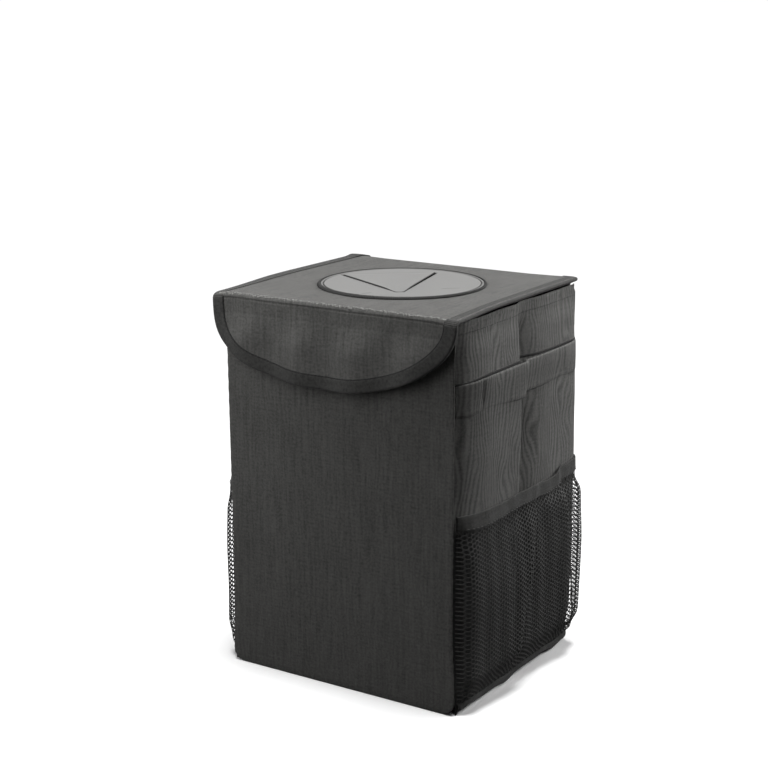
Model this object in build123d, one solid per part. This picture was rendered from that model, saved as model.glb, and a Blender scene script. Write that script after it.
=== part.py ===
"""Car trash bin: a stiffened fabric box with soft sides, a hinged lid and a closure flap.

Millimetres. The origin is the middle of the underside, +Z is up and the front faces -Y.
Each function makes one piece where it sits, with the lid shut and the flap hanging.
"""
from build123d import *
import os
from math import cos, pi

# Box
body_width = 180.0
body_depth = 160.0
body_height = 260.0
panel_corner = 9.0
panel_top_corner = 3.0
panel_edge_round = 1.5

# Cloth, boards and film
cloth = 0.8
tape = 0.8
board = 2.0
film = 0.4
board_room = 0.1
sewn_gap = 0.05
running_gap = 0.3

# Soft sides
gusset_drop = 2.5
gusset_flange = 4.0
foot_tuck = 4.0
foot_height = 14.0
foot_bulge = 1.0
foot_crease = 0.4
low_bulge = 4.0
low_crease = 2.5
full_bulge = 7.0
full_crease = 5.0
rim_bulge = 2.0
rim_crease = 1.5
shoulder_run = 17.0
shoulder_share = 0.85
lobe_run = 46.0

# Bands across the sides
band_bottom = 199.0
band_width = 22.0
band_thickness = 1.0
band_slack = 1.2
band_standoff = 0.5

# Net pockets
pocket_height = 135.0
hem_height = 9.5
hem_thickness = 1.8
net_thickness = 0.9
net_bottom = 6.0
net_foot_reach = 0.4
net_belly_height = 28.0
net_belly_reach = 10.0
net_middle_height = 78.0
net_middle_reach = 12.0
hem_reach = 10.0
pocket_turn = 3.5
pocket_turn_share = 0.75
pocket_shoulder = 15.0
gather_depth = 0.7
gather_waves = 4
gap_width = 8.4
gap_height = 7.4
gap_pitch_across = 12.5
gap_pitch_up = 10.4
gap_columns = 10
gap_rows = 9

# Liner and rim tape
liner_slack = 1.2
liner_corner = 5.0
liner_floor_round = 6.0
rim_tape_height = 12.0

# Lid
lid_side_overhang = 4.0
lid_front_overhang = 3.7
lid_back_overhang = 3.0
lid_board_thickness = 1.4
lid_board_inset = 6.0
lid_corner = 5.0
lid_edge_round = 1.6
binding_width = 10.0

# Cloth hinge of the lid
hinge_offset = 1.2
hinge_drop = 1.1
hinge_roll = 1.2
hinge_tape_inset = 8.0
hinge_tape_straight = 3.5
hinge_tape_slope = 9.5
hinge_tape_sewn = 14.0

# Rubber insert
insert_radius = 56.2
insert_hole_radius = 52.0
insert_thickness = 1.3
bead_width = 2.0
bead_height = 1.6
groove_width = 1.0
groove_depth = 0.8

# Push flap cut in the insert
push_turn = 38.5
push_offset = -5.5
push_base = 34.0
push_reach = 34.4
push_half_width = 32.5
push_tip_half_width = 2.3
push_tip_round = 1.6
push_knuckle = 0.9
slit = 1.0

# Closure flap
flap_drop = 54.5
flap_sweep = 178.0
flap_corner = 30.0
flap_thickness = 1.6
flap_roll = 1.4
flap_tape = 0.6
flap_binding_start = 3.0
strip_width = 80.0
strip_height = 20.0
strip_top = 20.0
strip_corner = 2.0
loop_thickness = 2.0

# Hanging strap
strap_width = 25.0
strap_thickness = 1.5
strap_height = 222.0
strap_inset = 15.0
strap_sewn = 18.0
strap_bow = 9.0
strap_flat = 46.0
strap_bend = 14.0
slide_length = 22.0
slide_rail = 3.0
slide_bar = 4.0
slide_plate = 2.0

# Places that follow from the sizes above
panel_depth = cloth + board
seam_y = body_depth / 2 - panel_depth
side_x = body_width / 2
gusset_top = body_height - gusset_drop
lid_width = body_width + 2 * lid_side_overhang
lid_thickness = 2 * cloth + lid_board_thickness
lid_bottom = body_height + running_gap + tape
lid_top = lid_bottom + lid_thickness
lid_front = -body_depth / 2 - lid_front_overhang
lid_back = body_depth / 2 + lid_back_overhang
lid_cloth_width = lid_width - 2 * tape
hinge_y = lid_back + hinge_offset
hinge_z = lid_top - hinge_drop
flap_hinge_y = lid_front - running_gap - flap_tape - flap_thickness / 2
flap_hinge_z = lid_top - hinge_drop
flap_back = flap_hinge_y + flap_thickness / 2
hook_thickness = -body_depth / 2 - loop_thickness - running_gap - flap_back
push_hinge_u = push_knuckle - push_base
strap_span = body_width - 2 * strap_inset


def upright(y):
    """Plane that faces the front, with its x along +X and its y along +Z."""
    return Plane(origin=(0, y, 0), x_dir=(1, 0, 0), z_dir=(0, -1, 0))


def panel_outline(inset):
    """Outline of the front and back panels, shrunk by inset, standing on the floor line."""
    sheet = Pos(0, body_height / 2) * Rectangle(body_width - 2 * inset, body_height - 2 * inset)
    sheet = fillet(sheet.vertices().sort_by(Axis.Y)[:2], panel_corner - inset)
    return fillet(sheet.vertices().sort_by(Axis.Y)[-2:], panel_top_corner - inset)


def front_panel():
    """Cloth wrapped round the front board: a shallow tray that is open to the inside."""
    panel = extrude(upright(-seam_y) * panel_outline(0), panel_depth)
    panel = fillet(panel.faces().sort_by(Axis.Y)[0].edges(), panel_edge_round)
    return panel - extrude(upright(-seam_y) * panel_outline(cloth), board)


def front_board():
    """Stiffening board that fills the front panel's tray."""
    return extrude(upright(-seam_y) * panel_outline(cloth + board_room), board)


def base_size(inset):
    """Outline of the base between the panels and the tucked-in feet of the sides."""
    width = body_width - 2 * foot_tuck - 2 * cloth
    return Rectangle(width - 2 * inset, 2 * seam_y - 2 * inset)


def base_panel():
    """Cloth of the underside, turned up round the base board."""
    return extrude(base_size(0), panel_depth) - Pos(0, 0, cloth) * extrude(base_size(cloth), board)


def base_board():
    """Stiffening board that lies in the base cloth."""
    return Pos(0, 0, cloth) * extrude(base_size(cloth + board_room), board)


def side_stations():
    """Heights at which a soft side is drawn, with its tuck, bulge and crease there."""
    return (
        (0, foot_tuck, foot_bulge, foot_crease),
        (foot_height, 0, foot_bulge, foot_crease),
        (pocket_height / 2, 0, low_bulge, low_crease),
        (pocket_height, 0, low_bulge, low_crease),
        (band_bottom + band_width / 2, 0, full_bulge, full_crease),
        (gusset_top, 0, rim_bulge, rim_crease),
    )


def lobe(station, standoff, slack):
    """Front half of a side's outline at one height, from the front seam to the crease."""
    height, tuck, bulge, crease = station
    seam = side_x - tuck + standoff
    return Spline(
        (seam, -seam_y, height),
        (seam + shoulder_share * bulge, -seam_y + shoulder_run, height),
        (seam + bulge + slack, -seam_y + lobe_run, height),
        (seam + bulge - crease, 0, height),
    )


def side_skin(inner, outer, slack=0.0):
    """Right-hand skin that follows the soft side, from the inner to the outer standoff."""
    sections = []
    for station in side_stations():
        outer_lobe = lobe(station, outer, slack)
        inner_lobe = lobe(station, inner, slack)
        half = [outer_lobe, inner_lobe, Line(outer_lobe @ 0, inner_lobe @ 0)]
        sections.append(make_face(half + [mirror(edge, about=Plane.XZ) for edge in half]))
    return loft(sections)


def right_gusset():
    """Soft side with a centre crease and seam flanges that lie on the two panels."""
    flange = Box(
        gusset_flange,
        cloth,
        gusset_top - foot_height,
        align=(Align.MAX, Align.MIN, Align.MIN),
    )
    front_flange = Pos(side_x - sewn_gap, -seam_y, foot_height) * flange
    return side_skin(-cloth, 0) + front_flange + mirror(front_flange, about=Plane.XZ)


def slab(bottom, top):
    """Block as wide and deep as needed that keeps what lies between two heights."""
    reach = 2 * (body_width + body_depth)
    return Pos(0, 0, bottom) * Box(reach, reach, top - bottom, align=(Align.CENTER, Align.CENTER, Align.MIN))


def right_band():
    """Band sewn across the side, with a little slack over each lobe."""
    skin = side_skin(band_standoff, band_standoff + band_thickness, band_slack)
    return skin & slab(band_bottom, band_bottom + band_width)


def pocket_edge(height, reach, standoff):
    """Outline of the pocket wall at one height: steep at both seams, gathered between them."""
    share = reach / hem_reach
    seam = side_x + sewn_gap + standoff
    shoulder = seam_y - pocket_shoulder
    steps = 2 * gather_waves
    gathers = []
    for step in range(steps + 1):
        wave = gather_depth * share * cos(pi * step)
        gathers.append((seam + reach + wave, shoulder * (2 * step / steps - 1), height))
    turn_x = seam + pocket_turn_share * reach
    turn_y = seam_y - pocket_turn
    return Spline(
        (seam, -seam_y, height),
        (turn_x, -turn_y, height),
        *gathers,
        (turn_x, turn_y, height),
        (seam, seam_y, height),
    )


def pocket_wall(stations, thickness):
    """Upright wall of the right pocket through its stations of height and reach."""
    sections = []
    for height, reach in stations:
        inner = pocket_edge(height, reach, 0)
        outer = pocket_edge(height, reach, thickness)
        ends = [Line(inner @ 0, outer @ 0), Line(inner @ 1, outer @ 1)]
        sections.append(make_face([inner, outer, *ends]))
    return loft(sections)


def right_pocket_net():
    """Gathered net, sewn in at both seams and along its foot, with staggered diamond gaps."""
    stations = (
        (net_bottom, net_foot_reach),
        (net_belly_height, net_belly_reach),
        (net_middle_height, net_middle_reach),
        (pocket_height - hem_height, hem_reach),
    )
    wall = pocket_wall(stations, net_thickness)
    diamond = make_face(
        Polyline(
            (gap_width / 2, 0),
            (0, gap_height / 2),
            (-gap_width / 2, 0),
            (0, -gap_height / 2),
            close=True,
        )
    )
    middle = (net_belly_height + pocket_height - hem_height) / 2
    gaps = Sketch()
    for row in range(gap_rows):
        up = middle + gap_pitch_up * (row - (gap_rows - 1) / 2)
        columns = gap_columns - row % 2
        for column in range(columns):
            across = gap_pitch_across * (column - (columns - 1) / 2)
            gaps += Pos(across, up) * diamond
    return wall - extrude(Plane.YZ.offset(side_x) * gaps, body_width)


def right_pocket_hem():
    """Folded hem along the top of the net, in the same gathers."""
    stations = ((pocket_height - hem_height, hem_reach), (pocket_height, hem_reach))
    return pocket_wall(stations, hem_thickness)


def liner_outline(inset):
    """Plan of the liner, shrunk by inset."""
    half_width = side_x - cloth - liner_slack - inset
    half_depth = seam_y - cloth - inset
    return RectangleRounded(2 * half_width, 2 * half_depth, liner_corner - inset)


def liner():
    """Waterproof bag with a rounded floor, open at the top."""
    bag = Pos(0, 0, panel_depth) * extrude(liner_outline(0), gusset_top - panel_depth)
    bag = fillet(bag.faces().sort_by(Axis.Z)[0].edges(), liner_floor_round - sewn_gap)
    return offset(bag, -film, openings=bag.faces().sort_by(Axis.Z)[-1])


def rim_tape():
    """Tape round the inside of the mouth, over the liner's top edge."""
    ring = liner_outline(film) - liner_outline(film + tape)
    return Pos(0, 0, gusset_top - rim_tape_height) * extrude(ring, rim_tape_height)


def lid_outline(inset):
    """Plan of the lid without its side tapes, shrunk by inset."""
    depth = lid_back - lid_front
    plan = RectangleRounded(lid_cloth_width - 2 * inset, depth - 2 * inset, lid_corner)
    return Pos(0, (lid_front + lid_back) / 2) * plan


def insert_hole():
    """Round hole through every layer of the lid under the insert."""
    return Pos(0, 0, lid_bottom) * Cylinder(insert_hole_radius, 2 * lid_thickness)


def lid_lining():
    """Cloth of the lid's underside."""
    return Pos(0, 0, lid_bottom) * extrude(lid_outline(0), cloth) - insert_hole()


def lid_cover():
    """Top cloth of the lid, rounded over its edges, with a tray for the board."""
    tray_bottom = lid_bottom + cloth
    cover = Pos(0, 0, tray_bottom) * extrude(lid_outline(0), cloth + lid_board_thickness)
    cover = fillet(cover.faces().sort_by(Axis.Z)[-1].edges(), lid_edge_round)
    tray = Pos(0, 0, tray_bottom) * extrude(lid_outline(lid_board_inset), lid_board_thickness)
    return cover - tray - insert_hole()


def lid_board():
    """Stiffening board inside the lid, with the insert's hole."""
    plate = extrude(lid_outline(lid_board_inset + board_room), lid_board_thickness)
    return Pos(0, 0, lid_bottom + cloth) * plate - insert_hole()


def right_lid_binding():
    """Tape folded over the lid's side edge."""
    half = lid_cloth_width / 2
    middle = lid_bottom + lid_thickness / 2
    section = Pos(half / 2, middle) * Rectangle(half, lid_thickness)
    section = fillet(section.vertices().group_by(Axis.X)[-1].sort_by(Axis.Y)[-1], lid_edge_round)
    wrap = offset(section, tape) - section
    margin = Pos(lid_width / 2 - binding_width / 2, middle) * Rectangle(binding_width, lid_width)
    length = lid_back - lid_front - 2 * lid_corner
    return extrude(upright(lid_back - lid_corner) * (wrap & margin), length)


def hinge_tape():
    """Cloth hinge: sewn to the back panel, up to a roll on the lid's hinge line."""
    sewn_y = body_depth / 2 + cloth / 2
    bend = hinge_z - hinge_tape_straight
    seam = bend - hinge_tape_slope
    path = Polyline(
        (sewn_y, seam - hinge_tape_sewn),
        (sewn_y, seam),
        (hinge_y, bend),
        (hinge_y, hinge_z),
    )
    section = trace(path, cloth) + Pos(hinge_y, hinge_z) * Circle(hinge_roll)
    return extrude(Plane.YZ * section, body_width / 2 - hinge_tape_inset, both=True)


def push_outline():
    """Outline of the push flap on the lid's plan: hinge line at the back, blunt tip in front."""
    tongue = make_face(
        Polyline(
            (push_hinge_u, -push_half_width),
            (push_reach, -push_tip_half_width),
            (push_reach, push_tip_half_width),
            (push_hinge_u, push_half_width),
            close=True,
        )
    )
    return Pos(0, push_offset) * fillet(tongue.vertices().sort_by(Axis.X)[-2:], push_tip_round)


def insert_plate():
    """Moulded rubber disc with a bead round its edge and an opening for the push flap."""
    bead_radius = bead_width / 2
    groove_outer = insert_radius - bead_width
    groove_inner = groove_outer - groove_width
    groove_floor = insert_thickness - groove_depth
    bead_shoulder = bead_height - bead_radius
    section = make_face(
        Polyline(
            (groove_outer, bead_shoulder),
            (groove_outer, groove_floor),
            (groove_inner, groove_floor),
            (groove_inner, insert_thickness),
            (0, insert_thickness),
            (0, 0),
            (insert_radius, 0),
            (insert_radius, bead_shoulder),
        )
        + ThreePointArc(
            (insert_radius, bead_shoulder),
            (insert_radius - bead_radius, bead_height),
            (groove_outer, bead_shoulder),
        )
    )
    disc = revolve(Plane.XZ * section, Axis.Z)
    knuckle_room = Pos(push_hinge_u, push_offset) * Rectangle(
        push_knuckle + running_gap,
        2 * (push_half_width + slit),
        align=(Align.MAX, Align.CENTER),
    )
    opening = extrude(offset(push_outline(), slit) + knuckle_room, bead_height)
    return Pos(0, 0, lid_top) * Rot(0, 0, push_turn - 90) * (disc - opening)


def push_flap():
    """Tongue of the insert, which pivots on a rolled edge along its base."""
    tongue = extrude(push_outline(), insert_thickness)
    roll = Cylinder(push_knuckle, 2 * push_half_width, rotation=(90, 0, 0))
    tongue += Pos(push_hinge_u, push_offset, insert_thickness / 2) * roll
    return Pos(0, 0, lid_top) * Rot(0, 0, push_turn - 90) * tongue


def flap_plane():
    """Plane of the closure flap's middle layer, with its origin on the flap's hinge line."""
    return Plane(origin=(0, flap_hinge_y, flap_hinge_z), x_dir=(1, 0, 0), z_dir=(0, -1, 0))


def flap_outline():
    """D-shaped outline of the flap without its tape, below the hinge line."""
    width = lid_width - 2 * flap_tape
    drop = flap_drop - flap_tape
    sheet = Pos(0, -drop / 2) * Rectangle(width, drop)
    outline = sheet & Pos(0, flap_sweep - drop) * Circle(flap_sweep)
    return fillet(outline.vertices().sort_by(Axis.Y)[:2], flap_corner)


def closure_flap():
    """Two layers of cloth that hang from a rolled fold along the lid's front edge."""
    sheet = extrude(flap_plane() * flap_outline(), flap_thickness / 2, both=True)
    roll_length = lid_cloth_width - 2 * lid_corner
    roll = Pos(0, flap_hinge_y, flap_hinge_z) * Cylinder(flap_roll, roll_length, rotation=(0, 90, 0))
    return sheet + roll


def flap_binding():
    """Tape folded over the flap's curved edge."""
    outline = flap_outline()
    band = offset(outline, flap_tape) - offset(outline, flap_tape - binding_width)
    below = Pos(0, -flap_binding_start - flap_drop) * Rectangle(2 * lid_width, 2 * flap_drop)
    fold = extrude(flap_plane() * (band & below), flap_thickness / 2 + flap_tape, both=True)
    return fold - extrude(flap_plane() * outline, flap_thickness / 2, both=True)


def fastener_strip(y, thickness):
    """Strip of the flap's fastener, thick towards the front from the plane at y."""
    strip = Pos(0, flap_hinge_z - strip_top - strip_height / 2) * RectangleRounded(
        strip_width, strip_height, strip_corner
    )
    return extrude(upright(y) * strip, thickness)


def hang_strap():
    """Webbing sewn to the back at both ends, bowed out between them."""
    near = body_depth / 2 + strap_thickness / 2
    far = near + strap_bow
    rise = (strap_span / 2 - strap_sewn - strap_flat / 2)
    path = FilletPolyline(
        (-strap_span / 2, near),
        (-strap_span / 2 + strap_sewn, near),
        (-strap_span / 2 + strap_sewn + rise, far),
        (strap_span / 2 - strap_sewn - rise, far),
        (strap_span / 2 - strap_sewn, near),
        (strap_span / 2, near),
        radius=strap_bend,
    )
    strip = extrude(trace(path, strap_thickness), strap_width / 2, both=True)
    return Pos(0, 0, strap_height) * strip


def strap_slide():
    """Three-bar slide: two bars outside the webbing, one bar inside it and two side rails."""
    inside = body_depth / 2 + strap_bow - running_gap / 2
    outside = body_depth / 2 + strap_bow + strap_thickness + running_gap / 2
    rail_y = (inside + outside) / 2
    rail_z = strap_width / 2 + running_gap + slide_rail / 2
    rail = Box(slide_length, outside - inside + 2 * slide_plate, slide_rail)
    bar = Box(slide_bar, slide_plate, strap_width + 2 * running_gap + slide_rail)
    end = slide_length / 2 - slide_bar / 2
    slide = Pos(0, rail_y, rail_z) * rail + Pos(0, rail_y, -rail_z) * rail
    slide += Pos(end, outside + slide_plate / 2, 0) * bar
    slide += Pos(-end, outside + slide_plate / 2, 0) * bar
    slide += Pos(0, inside - slide_plate / 2, 0) * bar
    return Pos(0, 0, strap_height) * slide


def both_sides(name, right):
    """A piece of the right side and its mirror image on the left."""
    return {f"right_{name}": right, f"left_{name}": mirror(right, about=Plane.YZ)}


def pieces():
    """Every piece of the bin by name."""
    front = front_panel()
    stiffener = front_board()
    made = {
        "front_panel": front,
        "back_panel": mirror(front, about=Plane.XZ),
        "front_board": stiffener,
        "back_board": mirror(stiffener, about=Plane.XZ),
        "base_panel": base_panel(),
        "base_board": base_board(),
        "liner": liner(),
        "rim_tape": rim_tape(),
        "loop_strip": fastener_strip(-body_depth / 2, loop_thickness),
        "hinge_tape": hinge_tape(),
        "hang_strap": hang_strap(),
        "strap_slide": strap_slide(),
        "lid_cover": lid_cover(),
        "lid_board": lid_board(),
        "lid_lining": lid_lining(),
        "insert_plate": insert_plate(),
        "push_flap": push_flap(),
        "closure_flap": closure_flap(),
        "flap_binding": flap_binding(),
        "hook_strip": fastener_strip(flap_back + hook_thickness, hook_thickness),
    }
    made.update(both_sides("gusset", right_gusset()))
    made.update(both_sides("band", right_band()))
    made.update(both_sides("pocket_net", right_pocket_net()))
    made.update(both_sides("pocket_hem", right_pocket_hem()))
    made.update(both_sides("lid_binding", right_lid_binding()))
    return made


os.makedirs("parts", exist_ok=True)
for name, piece in pieces().items():
    export_step(piece, f"parts/{name}.step")
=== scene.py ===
"""Looks of the car trash bin: cloth, tape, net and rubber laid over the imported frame.

Shapes are worked out in millimetres and stored in metres. +Z is up and the front faces -Y.
"""
from bisect import bisect
from math import atan2, cos, exp, hypot, pi, radians, sin, sqrt

import bmesh
import bpy
from mathutils import Matrix, Vector, noise


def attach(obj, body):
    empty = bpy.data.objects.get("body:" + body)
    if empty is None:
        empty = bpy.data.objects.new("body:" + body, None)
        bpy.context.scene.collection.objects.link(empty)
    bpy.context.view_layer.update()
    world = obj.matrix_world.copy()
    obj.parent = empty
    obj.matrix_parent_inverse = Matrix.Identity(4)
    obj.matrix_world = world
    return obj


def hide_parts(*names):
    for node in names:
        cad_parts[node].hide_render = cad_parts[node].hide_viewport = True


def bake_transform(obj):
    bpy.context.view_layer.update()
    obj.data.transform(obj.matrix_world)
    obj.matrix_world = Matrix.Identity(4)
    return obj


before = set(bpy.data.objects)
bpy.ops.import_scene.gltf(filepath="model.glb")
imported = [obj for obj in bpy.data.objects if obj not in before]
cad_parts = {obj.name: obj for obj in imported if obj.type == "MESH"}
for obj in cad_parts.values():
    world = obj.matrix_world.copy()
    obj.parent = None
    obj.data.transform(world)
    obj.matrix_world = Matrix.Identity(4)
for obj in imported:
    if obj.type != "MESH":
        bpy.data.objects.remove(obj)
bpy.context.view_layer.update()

MM = 0.001

# Box
HALF_WIDTH = 90.0
SEAM_Y = 77.2
FRONT_Y = 80.0
PANEL_TOP = 260.0
GUSSET_TOP = 257.5
PANEL_CORNER = 9.0
PANEL_TOP_CORNER = 6.0
PANEL_EDGE = 0.9
PANEL_CELL = 4.5
CLOTH = 0.8
THIN_CLOTH = 0.7
LINING = 0.6
BOARD_HALF = 85.2
FRONT_BOARD = ((-BOARD_HALF, -79.0, 1.0), (BOARD_HALF, -77.3, 258.8))
BOARD_EDGE = 0.5
BASE_ROLL = 2.6

# Liner, and the tape round the mouth
LINER_HALF = (87.6, 76.2)
LINER_FLOOR = 3.2
LINER_CORNER = 6.0
LINER_CELL = 7.0
LINER_FILM = 0.3
MOUTH_HALF = (87.4, 75.8)
MOUTH_CORNER = 5.0
RIM_LEG = 11.0
RIM_STAND = 0.75

# Soft sides: heights with the bulge and the depth of the centre crease there
SIDE_BULGE = ((0, -3.0), (14, 1.0), (67, 4.0), (135, 4.2), (178, 6.0), (210, 6.8), (238, 4.8), (257.5, 2.2))
BACK_BULGE = ((0, -3.0), (12, 3.4), (32, 6.8), (67, 7.4), (135, 7.3), (178, 6.4), (210, 5.6), (238, 3.4),
              (257.5, 1.4))
SIDE_CREASE = ((0, 0.4), (14, 0.4), (67, 3.0), (135, 5.8), (185, 7.8), (210, 8.2), (240, 7.4), (257.5, 1.6))
LOBE_RUN = 46.0
BACK_ROLL = 2.6
FRONT_DRAW = 1.9
EDGE_TUCK = 2.3
CREASE_NEAR = 5.6
CREASE_FAR = 13.0
CREASE_TUCK = 3.6
HEM_LEG = 8.0

# Bands across the sides
BAND_BOTTOM = 199.0
BAND_TOP = 221.0
BAND_LIFT = 2.0
BAND_RISE = 3.0
BAND_PLEAT_Y = -3.0
BAND_PLEAT = 0.7
BAND_STEP = 1.8
BAND_TACK_Y = -58.0
# Height of the strip of painted shade above the band's top edge
BAND_SHADE_STRIP = 0.8
BAND_HANG = 2.6

# Net pockets
POCKET_REACH = ((6, 1.6), (14, 7.0), (28, 11.0), (78, 12.0), (123, 10.0), (137, 9.6))
POCKET_TURN = ((6, 2.2), (108, 2.4), (124, 5.0), (137, 13.0))
POCKET_BACK_TURN = ((6, 1.8), (115, 1.8), (127, 3.4), (141, 4.0))
POCKET_BACK = 2.6
POCKET_RIM = ((-77, 136.0), (-50, 136.8), (-8, 138.2), (30, 136.2), (52, 140.2), (77, 141.0))
POCKET_TOP = 135.0
POCKET_HEM = 9.5
NET_FOLD = 4.6
NET_FOOT = 7.0
NET_SIDE = 1.76
NET_STRAND = 0.76
NET_THICKNESS = 0.36
NET_FULLNESS = 1.12

# Lid and flap
LID_HALF = 92.7
LID_BOTTOM = 261.1
LID_TOP = 264.1
LID_FRONT = -83.6
LID_BACK = 80.4
LID_ROUND = 2.6
LID_CORNER = 5.0
LID_TAPER = {-1: 0.0, 1: 1.7}
LID_EDGE = {-1: (262.6, 1.9), 1: (263.2, 1.05)}
LID_EDGE_ROLL = {-1: 2.2, 1: 1.2}
LID_TAPE_END = 82.4
HOLE_RADIUS = 52.0
FLAP_OUT = -86.2
FLAP_LINING_Y = -84.7
FLAP_START = 260.75
FLAP_DROP = 51.6
FLAP_FULL = {-1: (2.2, 0.33), 1: (1.95, 0.52)}
FOLD_SEAM = 0.7
EDGING_FLAP = (8.4, 1.3)
EDGING_LID = 8.0
EDGING_ACROSS = 10.0

# Rubber insert, in its own axes: u towards the tip of the push flap, v across it
INSERT_RADIUS = 54.9
INSERT_TOP = 1.1
BEAD_HEIGHT = 1.15
BEAD_WIDTH = 1.3
GROOVE_WIDTH = 1.0
GROOVE_DEPTH = 0.9
PUSH_TURN = radians(38.5 - 90.0)
PUSH_SHIFT = -5.5
PUSH_BASE = -34.0
PUSH_HINGE = -33.1
PUSH_REACH = 34.4
PUSH_HALF = 32.5
PUSH_TIP_HALF = 2.3
PUSH_TIP_ROUND = 1.4
SLIT = 1.0
PUSH_GAP = 0.3
RUBBER = 1.0

# Hinge strip, strap and fastener strips
HINGE = (84.2, 263.0)
HINGE_HALF = 84.0
HINGE_ROLL = 0.6
HINGE_STOPS = ((0.0, 80.8, 236.0), (0.34, 80.8, 250.0), (0.68, 83.7, 260.0), (0.76, 83.9, 262.2))
HINGE_SEAMS = (238.5, 247.5)
HINGE_SEAM_Y = 80.85
STRAP_Z = 222.0
STRAP_WIDTH = 25.0
STRAP_HALF = 75.0
STRAP_SEWN = 57.0
STRAP_FLAT = 23.0
STRAP_NEAR = 80.75
STRAP_BOW = 9.0
WEBBING = 1.4
SLIDE_Y = (88.85, 90.65)
SLIDE_WALL = 2.0
SLIDE_HALF = 11.0
SLIDE_POST = 7.0
SLIDE_RAIL = (12.8, 15.8)
SLIDE_REACH = 14.0
SLIDE_EDGE = 0.6
FASTENER_HALF = 40.0
FASTENER_Z = (223.0, 243.0)
FASTENER_EDGE = 0.35
LOOP_STRIP_Y = (-80.0, -82.0)
HOOK_STRIP_Y = (-82.3, -84.6)
LOOP_TALL = 0.8
HOOK_TALL = 1.1
LOOP_GRID = (46, 13)
HOOK_GRID = (38, 11)

# Cut cloth: what is added to a piece's own size, cut sizes, and shares of the rectangle that are cloth
PANEL_ADDED = 5.0
BASE_ADDED = 4.0
SIDE_ADDED = 18.0
SIDE_CUT = 262.0
HEM_ADDED = (6.0, 1.0)
BAND_ADDED = (10.0, 1.0)
COVER_ADDED = 2.0
FLAP_ADDED = 1.0
STRAP_ADDED = 5.0
RIM_CUT = 24.0
HINGE_CUT = 34.0
NET_SHARE = 0.62
LINER_SHARE = 0.42
COVER_SHARE = 0.73
UNDERSIDE_SHARE = 0.73
FLAP_SHARE = 0.8

# Patterns of the finishes, in metres
WEAVE_PITCH = 0.00062
STREAK_PITCH = 0.0032
YARN_TWIST = 0.0007
THREAD_TWIST = 0.0009
FILM_GRID = 0.0022

# Camera, in degrees, metres and millimetres of lens
VIEW_AZIMUTH = 32.33
VIEW_ELEVATION = 16.97
VIEW_DISTANCE = 1.135
VIEW_TARGET = (0, 0, 0.130)
LENS = 76.43
SENSOR = 36.0
LENS_SHIFT = (-0.024, 0.1182)


def ease(low, high, value):
    """Soft step from 0 at low to 1 at high."""
    share = min(max((value - low) / (high - low), 0.0), 1.0)
    return share * share * (3 - 2 * share)


def follow(stops, value):
    """Soft curve through stops of place and height."""
    for (start, low), (stop, high) in zip(stops, stops[1:]):
        if value <= stop:
            return low + (high - low) * ease(start, stop, value)
    return stops[-1][1]


def wander(size, x, y, z=0.0):
    """Smooth unevenness from -1 to 1 with features of about that size."""
    return noise.noise(Vector((x / size, y / size, z / size)))


# Shader expressions


class Shade:
    """A socket of a material's nodes; arithmetic on it adds Math nodes."""

    def __init__(self, tree, socket=None):
        self.tree = tree
        self.socket = socket

    def node(self, kind, settings=None, inputs=None, output=0):
        """Adds a node with its settings and the values or links of its sockets."""
        made = self.tree.nodes.new(kind)
        for name, value in (settings or {}).items():
            setattr(made, name, value)
        for name, value in (inputs or {}).items():
            if isinstance(value, Shade):
                self.tree.links.new(value.socket, made.inputs[name])
            else:
                made.inputs[name].default_value = value
        return Shade(self.tree, made.outputs[output])

    def math(self, operation, *values):
        return self.node("ShaderNodeMath", {"operation": operation}, dict(enumerate(values)))

    def __add__(self, other):
        return self.math("ADD", self, other)

    def __sub__(self, other):
        return self.math("SUBTRACT", self, other)

    def __rsub__(self, other):
        return self.math("SUBTRACT", other, self)

    def __mul__(self, other):
        return self.math("MULTIPLY", self, other)

    def __abs__(self):
        return self.math("ABSOLUTE", self)

    def __gt__(self, other):
        return self.math("GREATER_THAN", self, other)

    __radd__ = __add__
    __rmul__ = __mul__

    def sine(self):
        return self.math("SINE", self)

    def ribs(self, pitch):
        """Round ribs from 0 to 1 across this value, one to a pitch."""
        return abs((self * (pi / pitch)).sine())

    def smooth(self, low, high):
        """0 to 1 as this value goes from low to high."""
        return self.node(
            "ShaderNodeMapRange",
            {"interpolation_type": "SMOOTHSTEP"},
            {"Value": self, "From Min": low, "From Max": high},
        )

    def blend(self, first, second):
        """Colour that goes from the first to the second as this value goes from 0 to 1."""
        return self.node("ShaderNodeMix", {"data_type": "RGBA"}, {0: self, 6: first, 7: second}, output=2)

    def part(self, axis):
        """One component of a vector."""
        return self.node("ShaderNodeSeparateXYZ", None, {"Vector": self}, output=axis)

    def object_place(self):
        """Place on the piece, in metres."""
        return self.node("ShaderNodeTexCoord", output=3)

    def flat_place(self):
        """Spot on the flat cloth, in metres."""
        return self.node("ShaderNodeUVMap")

    def cloud(self, scale, detail=3.0, stretch=(1, 1, 1)):
        """Noise over this vector, stretched along its axes."""
        spread = self.node("ShaderNodeMapping", None, {"Vector": self, "Scale": stretch})
        return self.node("ShaderNodeTexNoise", None, {"Vector": spread, "Scale": scale, "Detail": detail})


def grey(level, warmth=0.02):
    """Grey that is a little warm, as all the cloth is."""
    return (level, level * (1 - 0.5 * warmth), level * (1 - 2.5 * warmth), 1.0)


def new_finish(name, constants):
    """Material with its shader's fixed values, and a Shade that starts its expressions."""
    material = bpy.data.materials.new(name)
    material.use_nodes = True
    shader = material.node_tree.nodes["Principled BSDF"]
    for socket, value in constants.items():
        shader.inputs[socket].default_value = value
    return material, shader, Shade(material.node_tree)


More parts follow.
